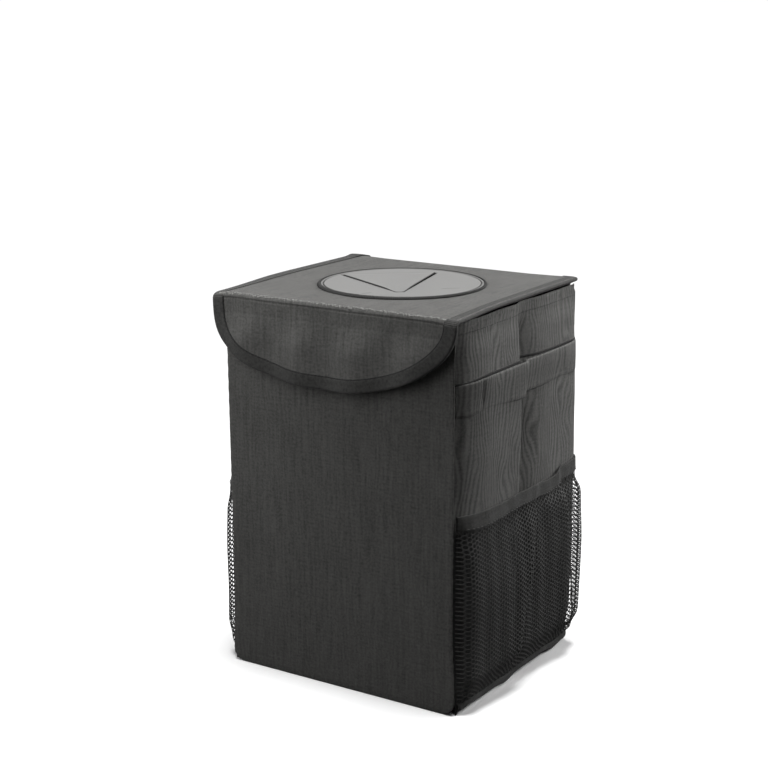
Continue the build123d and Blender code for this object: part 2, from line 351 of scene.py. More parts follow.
def dress(shader, colour, roughness, height, depth):
    """Feeds colour, roughness and relief of a finish to its shader; depth is in metres."""
    relief = height.node("ShaderNodeBump", None, {"Height": height, "Distance": depth, "Strength": 1.0})
    for name, shade in (("Base Color", colour), ("Roughness", roughness), ("Normal", relief)):
        height.tree.links.new(shade.socket, shader.inputs[name])


def plain_weave(flat, pitch):
    """Height of a plain weave on flat cloth: warp and weft threads that pass over each other in turn."""
    warp = (flat.part(0) * (pi / pitch)).sine()
    weft = (flat.part(1) * (pi / pitch)).sine()
    warp_on_top = (warp * weft) > 0.0
    return warp_on_top * abs(warp) + (1 - warp_on_top) * abs(weft)


def cloth_finish(name, level, streak=0.05, shade_below=None):
    """Matte woven polyester with uneven threads and wavy streaks along its warp; painted shade below one
    height.
    """
    material, shader, start = new_finish(name, {"Sheen Weight": 0.12, "Sheen Roughness": 0.4,
                                                "Specular IOR Level": 0.2})
    flat = start.flat_place()
    place = start.object_place()
    weave = plain_weave(flat, WEAVE_PITCH)
    slubs = flat.cloud(620, 2.0, (1.0, 0.1, 1.0)) + flat.cloud(620, 2.0, (0.16, 1.0, 1.0))
    patches = place.cloud(26, 4.0)
    fuzz = flat.cloud(640, 2.0)
    grain = flat.cloud(420, 2.0, (1.0, 0.05, 1.0))
    drift = flat.cloud(36, 1.5, (1.0, 0.45, 1.0))
    streaks = ((flat.part(0) + drift * 0.036) * (2 * pi / STREAK_PITCH)).sine() * drift
    tone = weave * 0.3 + slubs * 0.3 + patches * 0.22 + grain * 0.42 + fuzz * 0.6 + streaks * streak - 0.3
    lit = tone.smooth(0.4, 1.15)
    colour = lit.blend(grey(level * 0.52), grey(level * 1.45))
    # Painted shade: below this height, behind the pocket net, the cloth is darkened.
    if shade_below:
        painted_shade = lit.blend(grey(level * 0.08), grey(level * 0.22))
        colour = place.part(2).smooth(shade_below - 0.011, shade_below).blend(painted_shade, colour)
    dress(shader, colour, 0.98 - weave * 0.14, weave + slubs * 0.6 + fuzz * 0.7, 0.00012)
    return material


def edging_finish(name, level):
    """Ribbed edging tape: cross ribs along its length, and painted shade at the ends of its legs where they
    meet the cloth.
    """
    material, shader, start = new_finish(name, {"Sheen Weight": 0.12, "Sheen Roughness": 0.4,
                                                "Specular IOR Level": 0.25})
    flat = start.flat_place()
    rib = flat.part(0).ribs(0.00085)
    thread = flat.part(1).ribs(0.0005)
    slubs = flat.cloud(700, 2.0)
    # Painted shade: the end of each leg, at the groove beside the cloth, is darkened.
    inner_edge_shade = abs(flat.part(1)).smooth(0.0089, 0.0097)
    patches = flat.cloud(420, 3.0)
    tone = (rib * 0.4 + thread * 0.15 + slubs * 0.7 + patches * 1.2 - 0.6) * (1 - inner_edge_shade * 0.9)
    colour = tone.smooth(0.05, 1.0).blend(grey(level * 0.25), grey(level * 1.45))
    dress(shader, colour, 0.96 - rib * 0.16, rib + thread * 0.25, 0.00018)
    return material


def yarn_finish(name, level, pitch=YARN_TWIST):
    """Twisted yarn, as of the net and the sewing thread."""
    material, shader, start = new_finish(name, {"Sheen Weight": 0.1, "Specular IOR Level": 0.3})
    place = start.object_place()
    twist = ((place.part(0) + place.part(1) + place.part(2)) * (2 * pi / pitch)).sine()
    fuzz = place.cloud(900, 2.0)
    colour = (twist * 0.2 + fuzz).smooth(0.2, 0.9).blend(grey(level * 0.6), grey(level * 1.4))
    dress(shader, colour, 0.9 - fuzz * 0.2, twist * 0.5 + fuzz, 0.0001)
    return material


def bent_mark(place, x, y, angle, length):
    """1 on a short bent line of the lid's plan and 0 off it, in millimetres and degrees."""
    across_x, across_y = place.part(0) - x * MM, place.part(1) - y * MM
    turn = radians(angle)
    along = across_x * cos(turn) + across_y * sin(turn)
    off = across_y * cos(turn) - across_x * sin(turn) + along * along * 20.0
    on_line = 1 - abs(off).smooth(0.0002, 0.0009)
    within = 1 - abs(along).smooth(0.3 * length * MM, 0.5 * length * MM)
    return on_line * within


def rubber_finish(name, level):
    """Moulded rubber: satin, with a fine grain, faint handling marks and two small dents darkened with
    painted shade.
    """
    material, shader, start = new_finish(name, {"Specular IOR Level": 0.28})
    place = start.object_place()
    grain = place.cloud(2600, 2.0)
    marks = place.cloud(38, 5.0, (1.0, 0.6, 1.0))
    dents_and_shade = bent_mark(place, 1.2, -46.0, 60.0, 9.0) + bent_mark(place, 38.5, -2.0, 44.0, 15.0)
    # The dents also darken the colour: painted shade.
    tone = marks * 0.8 + grain * 0.2 - dents_and_shade * 0.9
    colour = tone.smooth(-0.4, 0.8).blend(grey(level * 0.5, 0.012), grey(level * 1.07, 0.012))
    dress(shader, colour, 0.4 + marks * 0.16, grain + marks * 0.5 - dents_and_shade * 6.0, 0.00003)
    return material


def film_finish(name, level):
    """Soft waterproof film with a faint embossed grid."""
    material, shader, start = new_finish(name, {"Specular IOR Level": 0.4})
    place = start.object_place()
    grid = place.part(2).ribs(FILM_GRID) * (place.part(0) + place.part(1)).ribs(FILM_GRID)
    haze = place.cloud(30, 4.0)
    colour = (haze * 0.8 + grid * 0.2).smooth(0.2, 0.8).blend(grey(level * 0.85), grey(level * 1.15))
    dress(shader, colour, 0.36 + haze * 0.2, grid + haze, 0.00012)
    return material


def webbing_finish(name, level):
    """Strap webbing: lengthwise cords crossed by a chevron of weft."""
    material, shader, start = new_finish(name, {"Sheen Weight": 0.1, "Specular IOR Level": 0.3})
    flat = start.flat_place()
    cords = flat.part(1).ribs(0.0021)
    chevron = (flat.part(0) + abs(flat.part(1)) * 0.8).ribs(0.0012)
    fuzz = flat.cloud(600, 2.0)
    tone = cords * 0.45 + chevron * 0.3 + fuzz * 0.35
    colour = tone.smooth(0.15, 0.95).blend(grey(level * 0.5), grey(level * 1.4))
    dress(shader, colour, 0.92 - cords * 0.2, cords + chevron * 0.5, 0.00025)
    return material


def plastic_finish(name, level):
    """Moulded plastic with a fine spark-eroded grain."""
    material, shader, start = new_finish(name, {"Specular IOR Level": 0.5})
    place = start.object_place()
    grain = place.cloud(1800, 3.0)
    colour = grain.smooth(0.3, 0.7).blend(grey(level * 0.9, 0.0), grey(level * 1.1, 0.0))
    dress(shader, colour, 0.38 + grain * 0.14, grain, 0.00004)
    return material


def board_finish(name, level):
    """Pressed board with short fibres."""
    material, shader, start = new_finish(name, {"Specular IOR Level": 0.2})
    place = start.object_place()
    fibres = place.cloud(420, 4.0, (1.0, 0.3, 0.3))
    colour = fibres.smooth(0.25, 0.75).blend(grey(level * 0.8), grey(level * 1.15))
    dress(shader, colour, 0.95 - fibres * 0.1, fibres, 0.0001)
    return material


shell_cloth = cloth_finish("shell_cloth", 0.098)
# The sides' cloth carries painted shade below the pocket rims, behind the nets.
side_cloth = cloth_finish("side_cloth", 0.098, streak=0.38, shade_below=0.131)
hem_cloth = cloth_finish("hem_cloth", 0.034)
# Near-black cloth for the painted shade above the sides' bands.
band_shade_cloth = cloth_finish("band_shade_cloth", 0.012)
edging_tape = edging_finish("edging_tape", 0.038)
net_yarn = yarn_finish("net_yarn", 0.03)
sewing_thread = yarn_finish("sewing_thread", 0.068, THREAD_TWIST)
# Near-black thread; along the edge tape it also paints the shade of the groove there.
dark_thread = yarn_finish("dark_thread", 0.009, THREAD_TWIST)
# Near-black thread of the insert's border, partly painted shade under the disc's edge.
border_thread_and_shade = yarn_finish("border_thread_and_shade", 0.02, THREAD_TWIST)
# Light thread: the fold's overcast stitches, partly a painted highlight where the fold's weave catches the
# light.
ridge_thread_and_highlight = yarn_finish("ridge_thread_and_highlight", 0.24, THREAD_TWIST)
insert_rubber = rubber_finish("insert_rubber", 0.173)
# Near-black rubber: painted shade on the insert's slit walls and in its groove.
painted_shade_rubber = rubber_finish("painted_shade_rubber", 0.022)
liner_film = film_finish("liner_film", 0.075)
strap_webbing = webbing_finish("strap_webbing", 0.025)
slide_plastic = plastic_finish("slide_plastic", 0.02)
stiff_board = board_finish("stiff_board", 0.2)
fastener_pile = yarn_finish("fastener_pile", 0.015)


# Ways of making a piece


def scene_object(name, data):
    """Object of a mesh, lamp or camera, put in the scene."""
    made = bpy.data.objects.new(name, data)
    bpy.context.scene.collection.objects.link(made)
    return made


def piece(name, bm, finish, body=None, nodes=()):
    """Object of a finished mesh, riding on its body and standing for its CAD nodes."""
    mesh = bpy.data.meshes.new(name)
    bm.to_mesh(mesh)
    bm.free()
    mesh.shade_smooth()
    mesh.materials.append(finish)
    made = scene_object(name, mesh)
    if body:
        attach(made, body)
    if nodes:
        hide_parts(*nodes)
    return made


def thicken(made, thickness):
    """Gives a sheet its thickness, behind the face that shows."""
    wall = made.modifiers.new("thickness", "SOLIDIFY")
    wall.thickness = thickness * MM
    wall.offset = -1.0
    return made


def cut_cloth(made, width, length, share=1.0, with_pieces=()):
    """Gives a piece back; the flat area it is cut to, in millimetres, and the share it fills are worked out
    but not kept.
    """
    flat = (width * MM, length * MM)
    return (made, share * flat[0] * flat[1])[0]


def cloth_grid(across, along, place):
    """Grid of cloth. place gives each corner's point and its spot on the flat cloth, in millimetres."""
    bm = bmesh.new()
    flat_layer = bm.loops.layers.uv.new("flat")
    bmesh.ops.create_grid(bm, x_segments=across, y_segments=along, size=1.0)
    flat = {}
    for vert in bm.verts:
        point, run_across, run_along = place(vert.co.x, vert.co.y)
        flat[vert] = (run_across * MM, run_along * MM)
        vert.co = Vector(point) * MM
    for face in bm.faces:
        for loop in face.loops:
            loop[flat_layer].uv = flat[loop.vert]
    return bm


def lay_flat(bm, across, along):
    """Flat cloth spots for a solid piece, read from two of its axes."""
    flat_layer = bm.loops.layers.uv.new("flat")
    for face in bm.faces:
        for loop in face.loops:
            loop[flat_layer].uv = (loop.vert.co[across], loop.vert.co[along])


def all_parts(bm):
    """Everything in a mesh, as operators take it."""
    return bm.verts[:] + bm.edges[:] + bm.faces[:]


def copy_by(bm, parts, step):
    """Adds a copy of some parts of a mesh, moved by a step."""
    copied = bmesh.ops.duplicate(bm, geom=parts)["geom"]
    moved = [part for part in copied if isinstance(part, bmesh.types.BMVert)]
    bmesh.ops.translate(bm, verts=moved, vec=step)


def round_edges(bm, edges, offset, segments):
    """Rounds edges of a mesh, by an offset in millimetres."""
    bmesh.ops.bevel(bm, geom=edges, offset=offset * MM, offset_type="OFFSET", segments=segments, profile=0.5,
                    affect="EDGES", material=-1)


def cut_rows(bm, axis, low, high, cell):
    """Cuts a mesh across one axis into rows about one cell wide, in millimetres."""
    count = max(2, round((high - low) / cell))
    normal = [0.0, 0.0, 0.0]
    normal[axis] = 1.0
    for step in range(1, count):
        spot = [0.0, 0.0, 0.0]
        spot[axis] = (low + (high - low) * step / count) * MM
        bmesh.ops.bisect_plane(bm, geom=all_parts(bm), plane_co=spot, plane_no=normal, dist=1e-6)


def folded_tape(count, path, width_cells=7, across=0.0):
    """Tape folded over an edge. path gives the edge point, the way in from it, the way out of the face, the
    length run, the length of a leg and half the thickness of what the tape holds."""
    fold_share = 0.2

    def place(s, t):
        edge, inward, outward, run, leg, half = path((s + 1) / 2)
        reach = max(abs(t) - fold_share, 0.0) / (1 - fold_share)
        turn = 0.5 * pi * min(max(t / fold_share, -1.0), 1.0)
        down = reach * leg - 0.8 * half * cos(turn)
        stand = half * sin(turn) * (1 - 0.42 * ease(0.93, 1.0, reach))
        point = Vector(edge) + Vector(inward) * down + Vector(outward) * stand
        return point, run, t * (across or leg + half)

    return cloth_grid(count, 4 * width_cells, place)


def add_box(bm, low, high):
    """Adds a plain box between two corners, in millimetres, and gives its vertices."""
    low, high = Vector(low) * MM, Vector(high) * MM
    matrix = Matrix.Translation((low + high) / 2) @ Matrix.Diagonal((*(high - low), 1))
    return bmesh.ops.create_cube(bm, size=1.0, matrix=matrix)["verts"]


def box_bar(bm, low, high, edge):
    """Adds a bar with rounded edges between two corners, in millimetres."""
    edges = {link for vert in add_box(bm, low, high) for link in vert.link_edges}
    round_edges(bm, list(edges), edge, 3)


def sew(bm, path, length, spacing, stitch=2.2, width=0.55, lift=0.15):
    """Adds a row of stitches along a path of point and outward direction, in millimetres."""
    count = max(1, int(length / spacing))
    for step in range(count):
        start, outward = path((step + 0.5) / count - 0.5 * stitch / length)
        stop, _ = path((step + 0.5) / count + 0.5 * stitch / length)
        along = (Vector(stop) - Vector(start)).normalized()
        up = Vector(outward).normalized()
        side = up.cross(along).normalized()
        up = along.cross(side)
        middle = (Vector(start) + Vector(stop)) / 2 + up * lift
        turn = Matrix((along, side, up)).transposed().to_4x4()
        size = Matrix.Diagonal((stitch / 2 * MM, width / 2 * MM, width * 0.45 * MM, 1))
        matrix = Matrix.Translation(middle * MM) @ turn @ size
        bmesh.ops.create_icosphere(bm, subdivisions=1, radius=1.0, matrix=matrix)


# Front, back and base


def panel_slack(x, z):
    """How far the cloth of a stiff panel stands off its board, with a faint crease down the middle."""
    slack = 0.35 * wander(60, x, z) + 0.14 * wander(17, x, z, 40)
    crease = 0.45 * exp(-((x + 2) / 3.0) ** 2) * exp(-((z - 146) / 22.0) ** 2)
    edge = min(HALF_WIDTH - abs(x), z, PANEL_TOP - z)
    return (slack - crease) * ease(1.0, 14.0, edge)


def front_draw(z):
    """How far the front panel's side edges are drawn in at one height."""
    return FRONT_DRAW * ease(6, 60, z) * (1 - 0.5 * ease(235, 258, z))


def stiff_panel(name, side, nodes):
    """Cloth drawn over a board: a plate with rolled edges and round corners."""
    bm = bmesh.new()
    low_y, high_y = sorted((side * SEAM_Y, side * FRONT_Y))
    add_box(bm, (-HALF_WIDTH, low_y, 0), (HALF_WIDTH, high_y, PANEL_TOP))
    middle = PANEL_TOP / 2 * MM
    for low, corner in ((True, PANEL_CORNER), (False, PANEL_TOP_CORNER)):
        edges = [e for e in bm.edges
                 if abs(e.verts[0].co.y - e.verts[1].co.y) > 1e-4 and (e.verts[0].co.z < middle) == low]
        round_edges(bm, edges, corner, 8)
    face_y = side * FRONT_Y * MM
    rim = [e for e in bm.edges if all(abs(v.co.y - face_y) < 1e-6 for v in e.verts)]
    round_edges(bm, rim, PANEL_EDGE, 4)
    cut_rows(bm, 0, -HALF_WIDTH, HALF_WIDTH, PANEL_CELL)
    cut_rows(bm, 2, 0, PANEL_TOP, PANEL_CELL)
    for vert in bm.verts:
        x, z = vert.co.x / MM, vert.co.z / MM
        if abs(vert.co.y) > (FRONT_Y - 0.6) * MM:
            vert.co.y += side * panel_slack(x, side * z) * MM
        pucker = 0.16 * sin(2 * pi * z / 8.5) * ease(HALF_WIDTH - 2, HALF_WIDTH, abs(x))
        drawn = front_draw(z) * ease(20, HALF_WIDTH, abs(x)) if side < 0 else 0.0
        if side < 0 and abs(vert.co.y) < (SEAM_Y + 0.3) * MM:
            drawn += EDGE_TUCK * ease(HALF_WIDTH - 6, HALF_WIDTH, abs(x))
        vert.co.x += (pucker - drawn) * MM * (1 if x > 0 else -1)
    bmesh.ops.recalc_face_normals(bm, faces=bm.faces)
    lay_flat(bm, 0, 2)
    made = piece(name, bm, shell_cloth, "bin", nodes)
    return cut_cloth(made, 2 * HALF_WIDTH + PANEL_ADDED, PANEL_TOP + PANEL_ADDED)


def front_stiffener():
    """Board inside the front panel, a little narrower than its cloth."""
    bm = bmesh.new()
    box_bar(bm, *FRONT_BOARD, BOARD_EDGE)
    bmesh.ops.recalc_face_normals(bm, faces=bm.faces)
    return piece("front_stiffener", bm, stiff_board, "bin", ["front_board"])


def base_cloth():
    """Cloth of the underside, drawn over its board with soft edges."""
    half_x, half_y = BOARD_HALF, SEAM_Y - 0.1

    def place(s, t):
        x, y = half_x * sin(0.5 * pi * s), half_y * sin(0.5 * pi * t)
        edge = min(half_x - abs(x), half_y - abs(y))
        turn = 1 - min(edge / BASE_ROLL, 1.0)
        sag = 0.25 * (1 + wander(45, x, y)) * ease(3, 20, edge) * 0.5
        z = BASE_ROLL * (1 - sqrt(1 - turn * turn)) + sag
        return (-x, y, z), x, y

    made = piece("base_cloth", cloth_grid(44, 40, place), shell_cloth, "bin", ["base_panel"])
    width, length = 2 * half_x + BASE_ADDED, 2 * half_y + BASE_ADDED
    return cut_cloth(thicken(made, THIN_CLOTH), width, length)


# Soft sides, bands and pockets


def lobes(side, y, z):
    """Outer face of a soft side but for its crease: a flat front lobe, and a back one that turns sharply."""
    inward = SEAM_Y - abs(y)
    back = ease(-12, 12, side * y)
    near = follow(SIDE_BULGE, z) * (1 - (1 - min(inward / LOBE_RUN, 1.0)) ** 4)
    far = follow(BACK_BULGE, z) * (1 - exp(-inward / BACK_ROLL))
    groove = front_draw(z) * (1 - ease(0, 30, inward)) + 1.7 * exp(-(inward / 5.0) ** 2) * ease(8, 30, z)
    return HALF_WIDTH + near * (1 - back) + far * back - groove * (1 - back)


def side_reach(side, y, z):
    """How far a soft side stands out from the bin's middle: two lobes with a crease between them."""
    inward = SEAM_Y - abs(y)
    wobble = y - 1.0 + 1.6 * sin(z / 31.0)
    wide, sharp = (CREASE_NEAR, 3.2) if wobble < 0 else (CREASE_FAR, 1.4)
    valley = follow(SIDE_CREASE, z) * exp(-(abs(wobble) / wide) ** sharp)
    slack = 0.5 * wander(34, y, z) + 0.22 * wander(13, y, z, 9)
    drag = 0.35 * sin((y * 0.8 + z) / 9.0) * ease(214, 250, z) * exp(-((y - 14) / 16.0) ** 2)
    pinch = 1.0 * exp(-((y + 1.5) / 1.7) ** 2) * exp(-((z - 251) / 4.5) ** 2)
    waist = -0.4 * exp(-((z - 224) / 3.0) ** 2)
    return lobes(side, y, z) - valley + (slack + drag + pinch + waist) * ease(0, 12, inward) * ease(4, 18, z)


def side_top(side, y):
    """Height of a soft side's top edge; the right one reaches close under the lid's edge."""
    return GUSSET_TOP if side < 0 else 260.2 + 1.0 * ease(-77, -20, side * y)


def soft_side(name, side, nodes):
    """Soft side cloth from seam to seam."""

    def place(s, t):
        y = SEAM_Y * s
        z = side_top(side, y) * (t + 1) / 2
        return (side * side_reach(side, y, z), side * y, z), y, z

    made = piece(name, cloth_grid(120, 118, place), side_cloth, "bin", nodes)
    return cut_cloth(thicken(made, CLOTH), 2 * SEAM_Y + SIDE_ADDED, SIDE_CUT)


def side_hem(name, side):
    """Folded hem along the top of a soft side."""

    def path(share):
        y = (2 * share - 1) * (SEAM_Y - 0.6)
        top = side_top(side, y)
        reach = side_reach(side, y, top)
        edge = (side * (reach - 0.4), side * y, top + 0.1 + 0.25 * wander(18, y, 5))
        lean = (side_reach(side, y, top - HEM_LEG) - reach) / HEM_LEG
        return edge, (side * lean, 0, -1), (side, 0, 0), y, HEM_LEG, 0.3

    made = piece(name, folded_tape(110, path), side_cloth, "bin")
    return cut_cloth(made, 2 * SEAM_Y + HEM_ADDED[0], 2 * HEM_LEG + HEM_ADDED[1])


def band_reach(side, y, z):
    """Outer face of the band that crosses a soft side: flat on the lobes, with a pleat at the crease."""
    middle = (BAND_BOTTOM + BAND_TOP) / 2
    level = lobes(side, y, z) * 0.6 + lobes(side, y, middle) * 0.4
    near_lobe = level + BAND_PLEAT * ease(-30, BAND_PLEAT_Y, y)
    far_lobe = level - BAND_STEP * exp(-((y - BAND_PLEAT_Y) / 11.0) ** 2)
    past = ease(BAND_PLEAT_Y, BAND_PLEAT_Y + 1.2, y)
    tack = 0.9 * exp(-((y - BAND_TACK_Y) / 1.0) ** 2) * ease(BAND_BOTTOM, BAND_BOTTOM + 3, z)
    open_top = ease(BAND_BOTTOM + 4, BAND_TOP + BAND_RISE, z) * ease(0, 26, SEAM_Y - abs(y))
    lie = 0.35 + BAND_LIFT * open_top - tack + 0.2 * wander(24, y, z, 3)
    return near_lobe * (1 - past) + far_lobe * past + lie


def side_band(name, side, nodes):
    """Band sewn across a soft side, with a near-black strip of painted shade along its top edge."""

    def place(s, t):
        y = (SEAM_Y - 0.3) * s
        before_pleat = 1 - ease(BAND_PLEAT_Y, BAND_PLEAT_Y + 1.0, y)
        low = BAND_BOTTOM - BAND_HANG * before_pleat * ease(BAND_TACK_Y, BAND_PLEAT_Y, y)
        rise = BAND_RISE * ease(-SEAM_Y, -46, side * y)
        z = low + (BAND_TOP - low) * (t + 1) / 2 + rise + 0.25 * wander(40, y, 70)
        roll = 0.35 * ease(0.92, 1.0, t) + 0.5 * ease(0.8, 1.0, -t)
        return (side * (band_reach(side, y, z) - roll), side * y, z), y, z

    # A thin near-black strip just above the band's top edge: painted shade of the gap under it.
    def shadow_strip(s, t):
        spot, y, z = place(s, 1)
        reach = side_reach(side, y, z) + 0.35
        return (side * reach, spot[1], spot[2] + BAND_SHADE_STRIP * t), y, z + BAND_SHADE_STRIP * t

    made = piece(name, cloth_grid(150, 24, place), side_cloth, "bin", nodes)
    edge = piece(f"{name}_elastic", cloth_grid(150, 2, shadow_strip), band_shade_cloth, "bin")
    width, length = 2 * SEAM_Y + BAND_ADDED[0], BAND_TOP - BAND_BOTTOM + BAND_ADDED[1]
    return cut_cloth(thicken(made, THIN_CLOTH), width, length, 1.0, (thicken(edge, LINING),))


def pocket_reach(side, y, z):
    """Middle of the net pocket's wall: steep at the seams, gathered in soft upright folds between them."""
    inward = SEAM_Y - abs(y)
    back = ease(-10, 40, side * y)
    tight = ease(119, 128, z)
    full = follow(POCKET_REACH, z) + back * (POCKET_BACK * ease(8, 34, z) * (1 - tight) - 1.2 * tight)
    turn = follow(POCKET_TURN, z) * (1 - back) + follow(POCKET_BACK_TURN, z) * back
    run, low = side * y, POCKET_TOP - z
    first, second = 6 - 0.25 * low, 40 + 0.13 * low
    folds = NET_FOLD * (ease(first - 46, first, run) * (1 - ease(first, first + 5, run))
                        + 0.8 * ease(second - 30, second, run) * (1 - ease(second, second + 5, run)))
    folds += 0.4 * cos(2 * pi * y / 15.5 + 1.1 + z / 60.0)
    slack = 0.7 * wander(30, y, z, 21)
    drawn = front_draw(z) * (1 - ease(0, 30, inward)) * (1 - back)
    lie = (folds + slack) * ease(2, 22, inward) * ease(10, 34, z) * (1 - 0.7 * ease(112, 130, z))
    return HALF_WIDTH + 0.6 + full * (1 - exp(-inward / turn)) - drawn + lie


def pocket_rim(side, y):
    """Height of the pocket's top edge, which sags a little behind its middle."""
    return follow(POCKET_RIM, side * y) + 0.4 * wander(14, y, 2)


def pocket_foot(y):
    """Height of the line that the net is sewn along at its foot."""
    return NET_FOOT + 1.4 * sin(y / 13.0) + 0.8 * sin(y / 5.3 + 1.0)


def pocket_net(name, side, nodes, hem_node):
    """Knitted net of open hexagons, gathered into the pocket's folds."""
    width = 2 * SEAM_Y * NET_FULLNESS
    height = POCKET_TOP - NET_FOOT
    step_across, step_up = 1.5 * NET_SIDE, sqrt(3) * NET_SIDE
    columns, rows = int(width / step_across / 2) + 1, int(height / step_up) + 2
    bm = bmesh.new()
    turned = Matrix.Rotation(pi / 6, 4, "Z")
    bmesh.ops.create_circle(bm, segments=6, radius=NET_SIDE, cap_ends=True, matrix=turned)
    copy_by(bm, all_parts(bm), (step_across, step_up / 2, 0))
    for count, step in ((rows, (0, step_up, 0)), (columns, (2 * step_across, 0, 0))):
        unit = all_parts(bm)
        for turn in range(1, count):
            copy_by(bm, unit, Vector(step) * turn)
    bmesh.ops.remove_doubles(bm, verts=bm.verts, dist=0.05)
    middle = step_across * (columns - 0.5)
    bmesh.ops.translate(bm, verts=bm.verts, vec=(-middle, 0, 0))
    cells = bm.faces[:]
    bmesh.ops.inset_individual(bm, faces=cells, thickness=NET_STRAND / 2, use_even_offset=True)
    bmesh.ops.delete(bm, geom=cells, context="FACES_ONLY")
    for spot, outward in (((-width / 2, 0, 0), (-1, 0, 0)), ((width / 2, 0, 0), (1, 0, 0)),
                          ((0, 0, 0), (0, -1, 0)), ((0, height - 4, 0), (0, 1, 0))):
        bmesh.ops.bisect_plane(bm, geom=all_parts(bm), plane_co=spot, plane_no=outward, clear_outer=True)
    for vert in bm.verts:
        y = vert.co.x / NET_FULLNESS
        share = vert.co.y / height
        foot, rim = pocket_foot(y), pocket_rim(side, y)
        z = foot + (rim - foot) * share
        vert.co = Vector((side * (pocket_reach(side, y, z) + NET_THICKNESS / 2), side * y, z)) * MM
    made = piece(name, bm, net_yarn, "bin", nodes)
    thicken(made, NET_THICKNESS)
    sewn_on = (pocket_hem(f"{name}_hem", side, [hem_node]), net_foot_tape(f"{name}_foot", side))
    return cut_cloth(made, width, height, NET_SHARE, sewn_on)


def pocket_hem(name, side, nodes):
    """Hem folded over the net's top edge."""

    def path(share):
        y = (2 * share - 1) * (SEAM_Y - 0.2)
        rim = pocket_rim(side, y)
        reach = pocket_reach(side, y, rim)
        edge = (side * (reach + 0.4), side * y, rim)
        lean = (pocket_reach(side, y, rim - POCKET_HEM) - reach) / POCKET_HEM
        return edge, (side * lean, 0, -1), (side, 0, 0), y, POCKET_HEM, 0.6

    bm = folded_tape(150, path, 6)
    return piece(name, bm, hem_cloth, "bin", nodes)


def net_foot_tape(name, side):
    """Narrow tape that holds the net's foot to the soft side."""

    def place(s, t):
        y = (SEAM_Y - 0.4) * s
        z = pocket_foot(y) - 1.0 + 2.6 * t
        crown = 0.6 * (1 - t * t)
        return (side * (pocket_reach(side, y, pocket_foot(y)) + 0.5 + crown), side * y, z), y, z

    made = piece(name, cloth_grid(90, 6, place), net_yarn, "bin")
    return thicken(made, CLOTH)


# Liner and rim tape


def liner_bag():
    """Waterproof bag with a rounded floor and hanging wrinkles."""
    half_x, half_y = LINER_HALF
    bm = bmesh.new()
    add_box(bm, (-half_x, -half_y, LINER_FLOOR), (half_x, half_y, GUSSET_TOP))
    middle = (GUSSET_TOP + LINER_FLOOR) / 2 * MM
    top = [f for f in bm.faces if f.calc_center_median().z > (GUSSET_TOP - 1) * MM]
    bmesh.ops.delete(bm, geom=top, context="FACES_ONLY")
    sides = [e for e in bm.edges
             if abs(e.verts[0].co.z - e.verts[1].co.z) > 0.01 or e.verts[0].co.z < middle]
    round_edges(bm, sides, LINER_CORNER, 5)
    for axis, low, high in ((0, -half_x, half_x), (1, -half_y, half_y), (2, LINER_FLOOR, GUSSET_TOP)):
        cut_rows(bm, axis, low, high, LINER_CELL)
    bmesh.ops.recalc_face_normals(bm, faces=bm.faces)
    bm.normal_update()
    for vert in bm.verts:
        x, y, z = vert.co / MM
        hang = 0.9 * wander(26, x, y, z / 3) + 0.7 * wander(60, x, y, z) + 0.9
        vert.co -= vert.normal * hang * MM * ease(0, 30, GUSSET_TOP - z)
        tuck = CREASE_TUCK * exp(-(y / 11.0) ** 2) * ease(70, 86, abs(x)) * ease(40, 130, z)
        vert.co.x -= tuck * (1 - ease(236, 248, z)) * MM * (1 if x > 0 else -1)
    lay_flat(bm, 0, 2)
    made = piece("liner_bag", bm, liner_film, "bin", ["liner"])
    deep = GUSSET_TOP - LINER_FLOOR
    width, length = 2 * (half_x + deep), 2 * (half_y + deep)
    return cut_cloth(thicken(made, LINER_FILM), width, length, LINER_SHARE)


def mouth_edge(share):
    """Point on the mouth's rounded plan, its way in, the run from the front's middle and the whole run."""
    (half_x, half_y), corner = MOUTH_HALF, MOUTH_CORNER
    flats = (half_x - corner, half_y - corner)
    runs = (flats[0], corner * pi / 2, 2 * flats[1], corner * pi / 2, 2 * flats[0], corner * pi / 2,
            2 * flats[1], corner * pi / 2, flats[0])
    length = sum(runs)
    run = (share % 1.0) * length
    place, heading = Vector((0, -half_y, 0)), 0.0
    for index, stretch in enumerate(runs):
        along = min(run, stretch)
        if index % 2 == 0:
            place = place + Vector((cos(heading), sin(heading), 0)) * along
        else:
            centre = place + Vector((-sin(heading), cos(heading), 0)) * corner
            heading += along / corner
            place = centre + Vector((sin(heading), -cos(heading), 0)) * corner
        run -= along
        if run <= 0:
            break
    return place, Vector((-sin(heading), cos(heading), 0)), share * length, length


def rim_edging():
    """Tape folded over the liner's top edge, round the mouth."""

    def path(share):
        place, inward, run, _ = mouth_edge(share)
        edge = place + Vector((0, 0, GUSSET_TOP + 0.6 + 0.2 * wander(15, place.x, place.y)))
        return edge, (0, 0, -1), -inward, run, RIM_LEG, RIM_STAND

    bm = folded_tape(220, path, 7, EDGING_ACROSS)
    bmesh.ops.remove_doubles(bm, verts=bm.verts, dist=1e-6)
    made = piece("rim_edging", bm, edging_tape, "bin", ["rim_tape"])
    return cut_cloth(made, mouth_edge(0.0)[3], RIM_CUT)


# Lid and closure flap


def droop(x, y):
    """How far the lid's cloth sags at its two front corners, less its lift along the sides behind them."""
    left = 1.6 * ease(80, 93, -x) * (1 - ease(-84, -20, y)) - 0.7 * ease(60, 92, -x) * ease(-60, 0, y)
    right = 0.9 * ease(74, 93, x) * (1 - ease(-84, -40, y)) - 0.9 * ease(50, 92, x) * ease(-84, -20, y)
    return left + right


